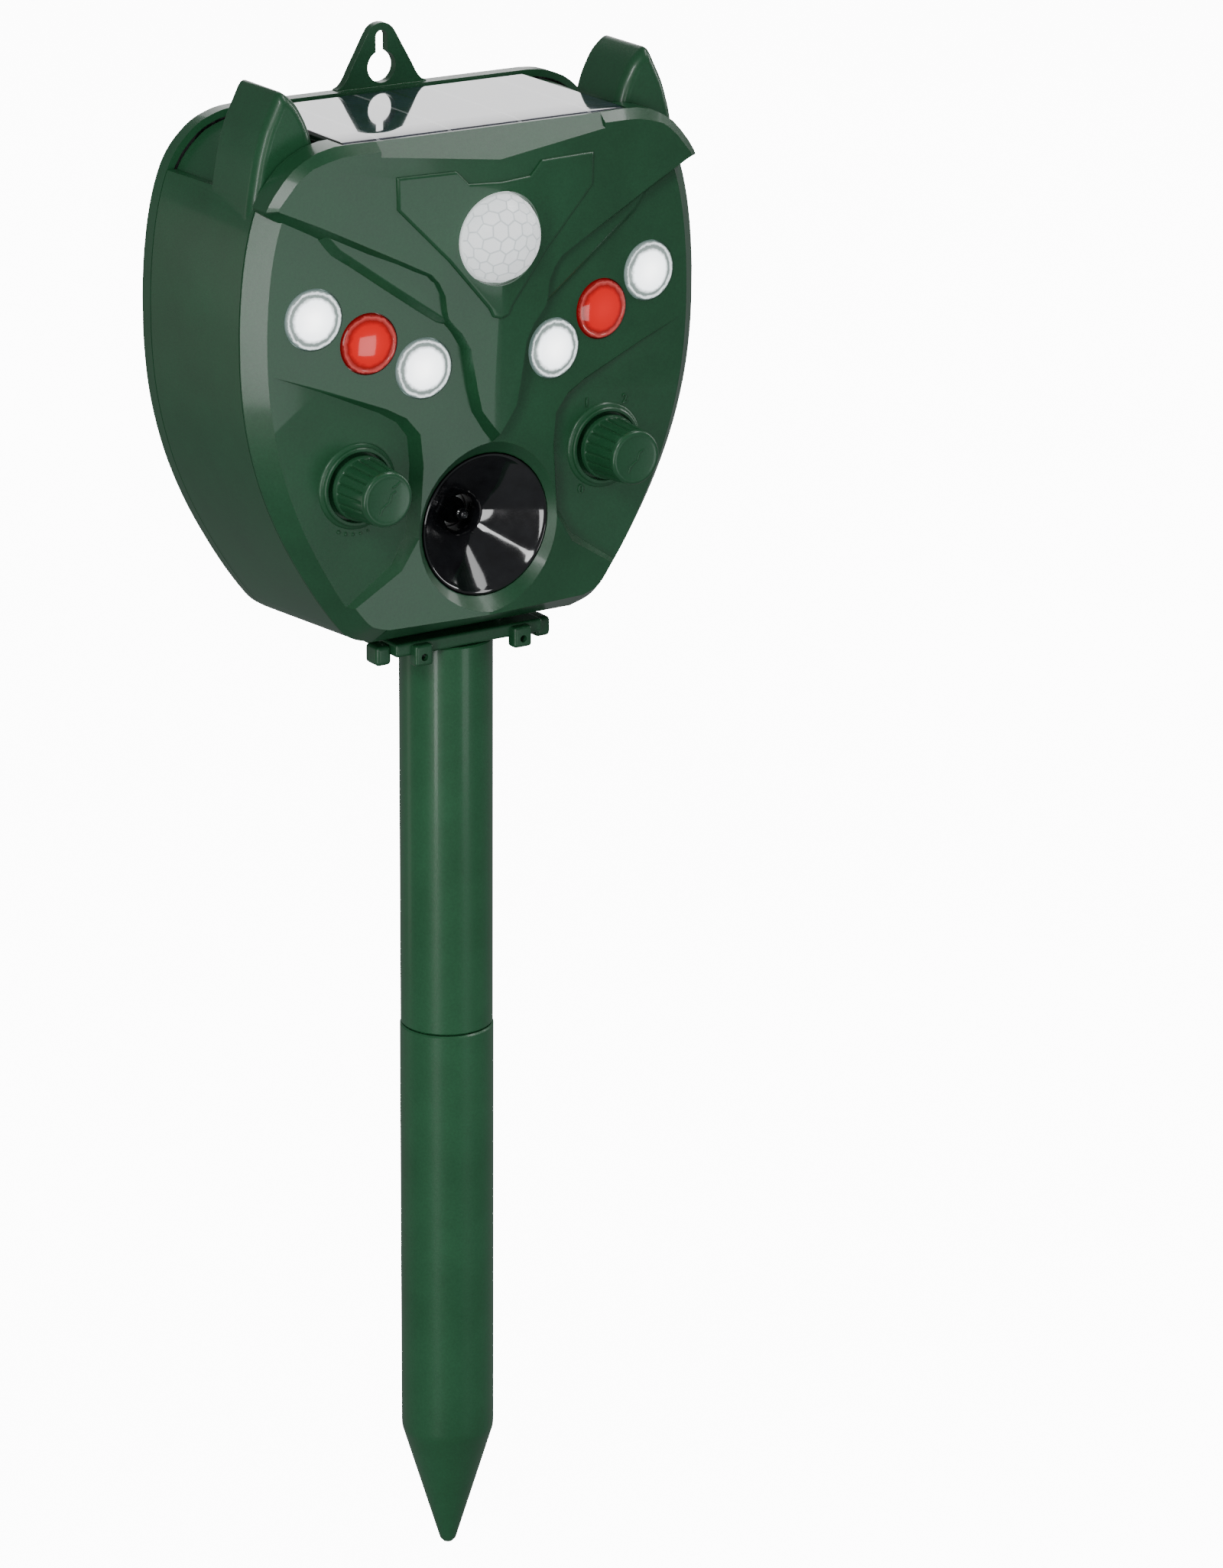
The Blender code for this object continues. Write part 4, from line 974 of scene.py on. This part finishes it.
def raised_line(points, radius):
    """A thin rounded line, as a solid."""
    curve = bpy.data.curves.new("line", 'CURVE')
    curve.dimensions = '3D'
    curve.bevel_depth = radius * MM
    curve.bevel_resolution = 3
    curve.use_fill_caps = True
    spline = curve.splines.new('POLY')
    spline.points.add(len(points) - 1)
    for point, where in zip(spline.points, points):
        point.co = (*(Vector(where) * MM), 1.0)
    line = bpy.data.objects.new("line", curve)
    bpy.context.scene.collection.objects.link(line)
    only(line)
    bpy.ops.object.convert(target='MESH')
    line = bpy.context.object
    with Editing(line) as work:
        work.tidy(FINE_MERGE)
    return line


def make_knob(name, side):
    """A fluted knob with a raised pointer on its end."""
    steps = [(7.9, 0.0, 0.0), (8.15, 0.0, 0.25), (8.15, 0.0, 1.25), (8.0, 0.0, 1.5), (7.75, 0.0, 1.6),
             (7.7, 0.1, 1.75), (7.66, 0.34, 2.0), (7.45, 0.36, 5.4), (7.2, 0.36, 8.6), (7.02, 0.34, 10.9),
             (6.98, 0.20, 11.2), (6.96, 0.0, 11.4), (6.93, 0.0, 12.1), (6.8, 0.0, 12.55), (6.5, 0.0, 12.85),
             (6.0, 0.0, 12.98), (5.6, 0.0, 12.9), (5.2, 0.0, 12.85), (0.8, 0.0, 12.85)]
    knob = loft("knob", [fluted_ring(radius, depth, KNOB_BASE + out) for radius, depth, out in steps])
    sweep = [(-2.3, -3.4), (-1.9, -2.2), (-0.9, -1.3), (0.2, -0.7), (0.6, 0.3), (1.0, 1.4), (2.0, 1.9)]
    end = KNOB_BASE + KNOB_TOP
    join(knob, raised_line([(x, y, end) for x, y in sweep], LINE_RADIUS))
    if side < 0:
        join(knob, raised_line([(1.2, 2.9, end), (2.2, 3.3, end), (3.4, 4.2, end)], LINE_RADIUS))
    cut(knob, rod("bore", 3.3, 10.0, KNOB_BASE + 9.7, None, 40))
    knob.data.transform(facing_front(KNOB_X * side, KNOB_Z))
    return ready(knob, name + "_dial", name + "_dial", GREEN_KNOB, "knob_green", name + "_knob")


def make_collar(name, side):
    """Two stepped rings round the foot of a knob."""
    low = -DIAL_FLOOR
    ring = [(DIAL_WELL, low - 0.6), (DIAL_WELL, low + 1.3), (8.95, low + 1.5), (9.55, low + 1.5),
            (9.8, low + 1.3), (9.95, low + 0.75), (10.2, low + 0.62), (10.45, low + 0.55), (10.75, low + 0.3),
            (10.9, low - 0.1), (10.9, low - 0.6)]
    collar = spun("collar", ring, facing_front(KNOB_X * side, KNOB_Z), 96)
    ready(collar, name + "_dial_collar", "head", GREEN_SHELL, "shell_green", "front_cover")


def raised_mark(text, size, x, z):
    bpy.ops.object.select_all(action='DESELECT')
    bpy.ops.object.text_add()
    piece = bpy.context.object
    piece.data.body = text
    piece.data.align_x = 'CENTER'
    piece.data.align_y = 'CENTER'
    piece.data.size = size * MM
    piece.data.extrude = 0.3 * MM
    piece.data.bevel_depth = 0.05 * MM
    piece.data.bevel_resolution = 1
    piece.data.resolution_u = 6
    bpy.ops.object.convert(target='MESH')
    piece = bpy.context.object
    piece.data.transform(Matrix.Translation(Vector((0.0, DIAL_FLOOR * MM, 0.0))) @ facing_front(x, z))
    with Editing(piece) as work:
        work.tidy()
    return piece


def make_marks():
    """Small raised dots under the left dial, numbers round the right one."""
    for name, side in SIDES:
        middle = KNOB_X * side
        marks = []
        for i in range(5 if side < 0 else 0):
            turn = math.radians(244.0 + i * 10.0)
            bump = [(0, -0.3), (0.62 - 0.05 * i, -0.3), (0.5 - 0.05 * i, 0.2), (0.2, 0.3), (0, 0.3)]
            place = Matrix.Translation((0.0, DIAL_FLOOR * MM, 0.0)) @ facing_front(
                middle + 12.1 * math.cos(turn), KNOB_Z + 12.1 * math.sin(turn))
            marks.append(spun("dot", bump, place, 20))
        for text, turn in (("1", 114.5), ("2", 61.0), ("0", 237.0)) if side > 0 else ():
            marks.append(raised_mark(text, 3.3, middle + 12.6 * math.cos(math.radians(turn)),
                                     KNOB_Z + 12.6 * math.sin(math.radians(turn))))
        only(marks[0])
        for mark in marks:
            mark.select_set(True)
        bpy.ops.object.join()
        ready(marks[0], name + "_dial_marks", "head", GREEN_SHELL, "shell_green", "front_cover")


def stamp(piece, name, measure):
    """Store a number on each vertex of a finished mesh."""
    layer = piece.data.attributes.new(name, 'FLOAT', 'POINT')
    for i, vertex in enumerate(piece.data.vertices):
        layer.data[i].value = measure(vertex.co)


def make_lamps():
    for name, side in SIDES:
        tilt = math.atan(FACE[1]) * side
        for x, z, lamp in zip(LAMP_X, LAMP_Z, LAMP_NAMES):
            place = on_face(x * side, z, tilt)
            red = lamp == "middle"
            label = "%s_%s" % (name, lamp)
            lens = [(0, 1.15), (1.5, 1.12), (3.0, 1.02), (4.4, 0.86), (5.6, 0.62), (6.3, 0.42), (6.5, 0.36),
                    (6.7, 0.52), (7.0, 0.60), (7.3, 0.48), (LENS_RADIUS, 0.2), (LENS_RADIUS, -2.4),
                    (8.2, -2.4), (8.2, -3.4), (6.6, -3.4), (6.2, -2.0), (3.0, -2.5), (0, -2.6)]
            piece = spun("lens", lens, place, 64)
            centre = place.translation
            stamp(piece, "reach", lambda co: min(1.0, (co - centre).length / (LENS_RADIUS * MM)))
            ready(piece, "lens_" + label, "head", RED_LENS if red else CLEAR_LENS,
                  "red_lens" if red else "clear_lens", "lamp_lens_" + label)


def make_dome():
    """Milky motion lens: a smooth rim under a cap of many small flat lenses."""
    base = DOME_BASE
    rim = [(0, base - 7.0), (13.3, base - 7.0), (13.3, base - 5.6), (PIR_RADIUS, base - 5.6),
           (PIR_RADIUS, base)]
    for i in range(1, 16):
        angle = math.radians(i * 6.0)
        rim.append((DOME_SIZE[0] * math.cos(angle), base + DOME_SIZE[1] * math.sin(angle)))
    rim[-1] = (0, base + DOME_SIZE[1])
    dome = spun("dome", rim, None, 96)
    bpy.ops.object.select_all(action='DESELECT')
    bpy.ops.mesh.primitive_ico_sphere_add(subdivisions=2, radius=1.0)
    cap = bpy.context.object
    cap.name = "facets"
    tilted = Matrix.Rotation(math.radians(17.0), 4, 'X') @ Matrix.Rotation(math.radians(11.0), 4, 'Y')
    cap.data.transform(tilted)
    for vertex in cap.data.vertices:
        x, y, z = vertex.co * 7.0
        vertex.co += Vector((math.sin(y * 1.7 + z), math.sin(z * 1.9 + x), math.sin(x * 2.3 + y))) * 0.055
    with Editing(cap) as work:
        bpy.ops.mesh.select_all(action='SELECT')
        bpy.ops.mesh.bevel(offset_type='PERCENT', offset_pct=33.0, segments=1, affect='VERTICES')
        for vertex in work.mesh().verts:
            vertex.co = vertex.co.normalized()
        bpy.ops.mesh.select_all(action='SELECT')
        bpy.ops.mesh.remove_doubles(threshold=0.01)
        bpy.ops.mesh.inset(thickness=0.026, depth=0.014, use_individual=True)
    size = Vector((FACET_SIZE[0], FACET_SIZE[0], FACET_SIZE[1])) * MM
    cap.data.transform(Matrix.Translation((0.0, 0.0, base * MM)) @ Matrix.Diagonal((*size, 1.0)))
    with Editing(cap) as work:
        bpy.ops.mesh.select_all(action='SELECT')
        bpy.ops.mesh.bisect(plane_co=(0, 0, (base + FACET_START) * MM), plane_no=(0, 0, 1), use_fill=True,
                            clear_inner=True)
        work.tidy(FINE_MERGE)
    join(dome, cap)

    # Marks the vertices in the grooves between facets, where the painted shade goes
    def groove_shade_at(co):
        reach = Vector((co.x / size.x, co.y / size.y, (co.z - base * MM) / size.z)).length
        return 1.0 if co.z > (base + FACET_START - 0.1) * MM and reach < 1.0025 else 0.0

    stamp(dome, "seams", groove_shade_at)
    dome.data.transform(facing_front(0.0, PIR_Z))
    return ready(dome, "motion_dome", "head", MILKY, "milky_lens", "pir_lens")


def finish_nodes():
    """Give the CAD parts that stay their finishes."""
    finishes = {"black_rubber": RUBBER, "black_plastic": BLACK_PLASTIC, "circuit_board": BOARD, "cell_wrap":
                WRAP, "steel": STEEL, "milky_lens": MILKY, "horn_black": HORN, "knob_green": GREEN_KNOB,
                "shell_green": GREEN_SHELL, "stake_green": LIGHTENED_STAKE_GREEN, "solar_cells": SOLAR, "clear_lens":
                WHITE_GLOW, "red_lens": RED_GLOW}
    slots = {}
    for part in frame["record"]["subparts"]:
        slots[part["node"]] = part["material_slot"]
    for node, thing in frame["nodes"].items():
        for holder in thing.material_slots:
            holder.material = finishes[slots[node]]


# ======== the finishes used ========
GREEN_SHELL = moulded_green("green shell plastic")
# Painted light: the stake's tone is raised to 1.35 to stand in for the light that falls short on it
LIGHTENED_STAKE_GREEN = moulded_green("green stake plastic painted lighter", 1.35, 0.36, 0.14, 0.2)
GREEN_KNOB = moulded_green("green knob plastic", 0.95, 0.30, 0.08)
HORN = glossy_black()
RUBBER = matt_black("black rubber", 0.72, 1400.0)
BLACK_PLASTIC = matt_black("black plastic", 0.45, 2200.0)
STEEL = bright_steel()
BOARD = green_board()
WRAP = shrink_wrap()
MILKY = milky_plastic()
SOLAR = solar_face()
WHITE_GLOW = lamp_glow("white lamp", rgb(0.85, 0.92, 1.0))
RED_GLOW = lamp_glow("red lamp", rgb(1.0, 0.02, 0.02))
CLEAR_STOPS = [(0.0, rgb(1.0, 1.0, 1.0)), (0.66, rgb(0.62, 0.65, 0.68)), (0.78, rgb(0.035, 0.045, 0.042)),
               (0.85, rgb(0.02, 0.028, 0.026)), (0.92, rgb(0.30, 0.32, 0.33)), (0.97, rgb(0.02, 0.03, 0.028))]
RED_STOPS = [(0.0, rgb(1.0, 0.012, 0.010)), (0.66, rgb(0.80, 0.002, 0.002)), (0.80, rgb(0.22, 0.001, 0.001)),
             (0.92, rgb(0.60, 0.10, 0.09)), (0.97, rgb(0.12, 0.002, 0.002))]
CLEAR_LENS = clear_plastic("clear lens plastic", CLEAR_STOPS, rgb(0.40, 0.46, 0.44), 5.0)
RED_LENS = clear_plastic("red lens plastic", RED_STOPS, rgb(0.30, 0.004, 0.004), 0.9)


# ======== making it all ========
aim_camera()
lay_floor()
light_studio()
finish_nodes()
make_stake()
make_bracket()
make_bracket_screws()
make_housing()
make_rear_cover()
make_rear_screws()
make_panel()
make_face()
make_brow()
make_ledge()
make_mask()
make_horn()
make_dome()
make_lamps()
for knob_name, knob_side in SIDES:
    make_knob(knob_name, knob_side)
    make_collar(knob_name, knob_side)
make_marks()
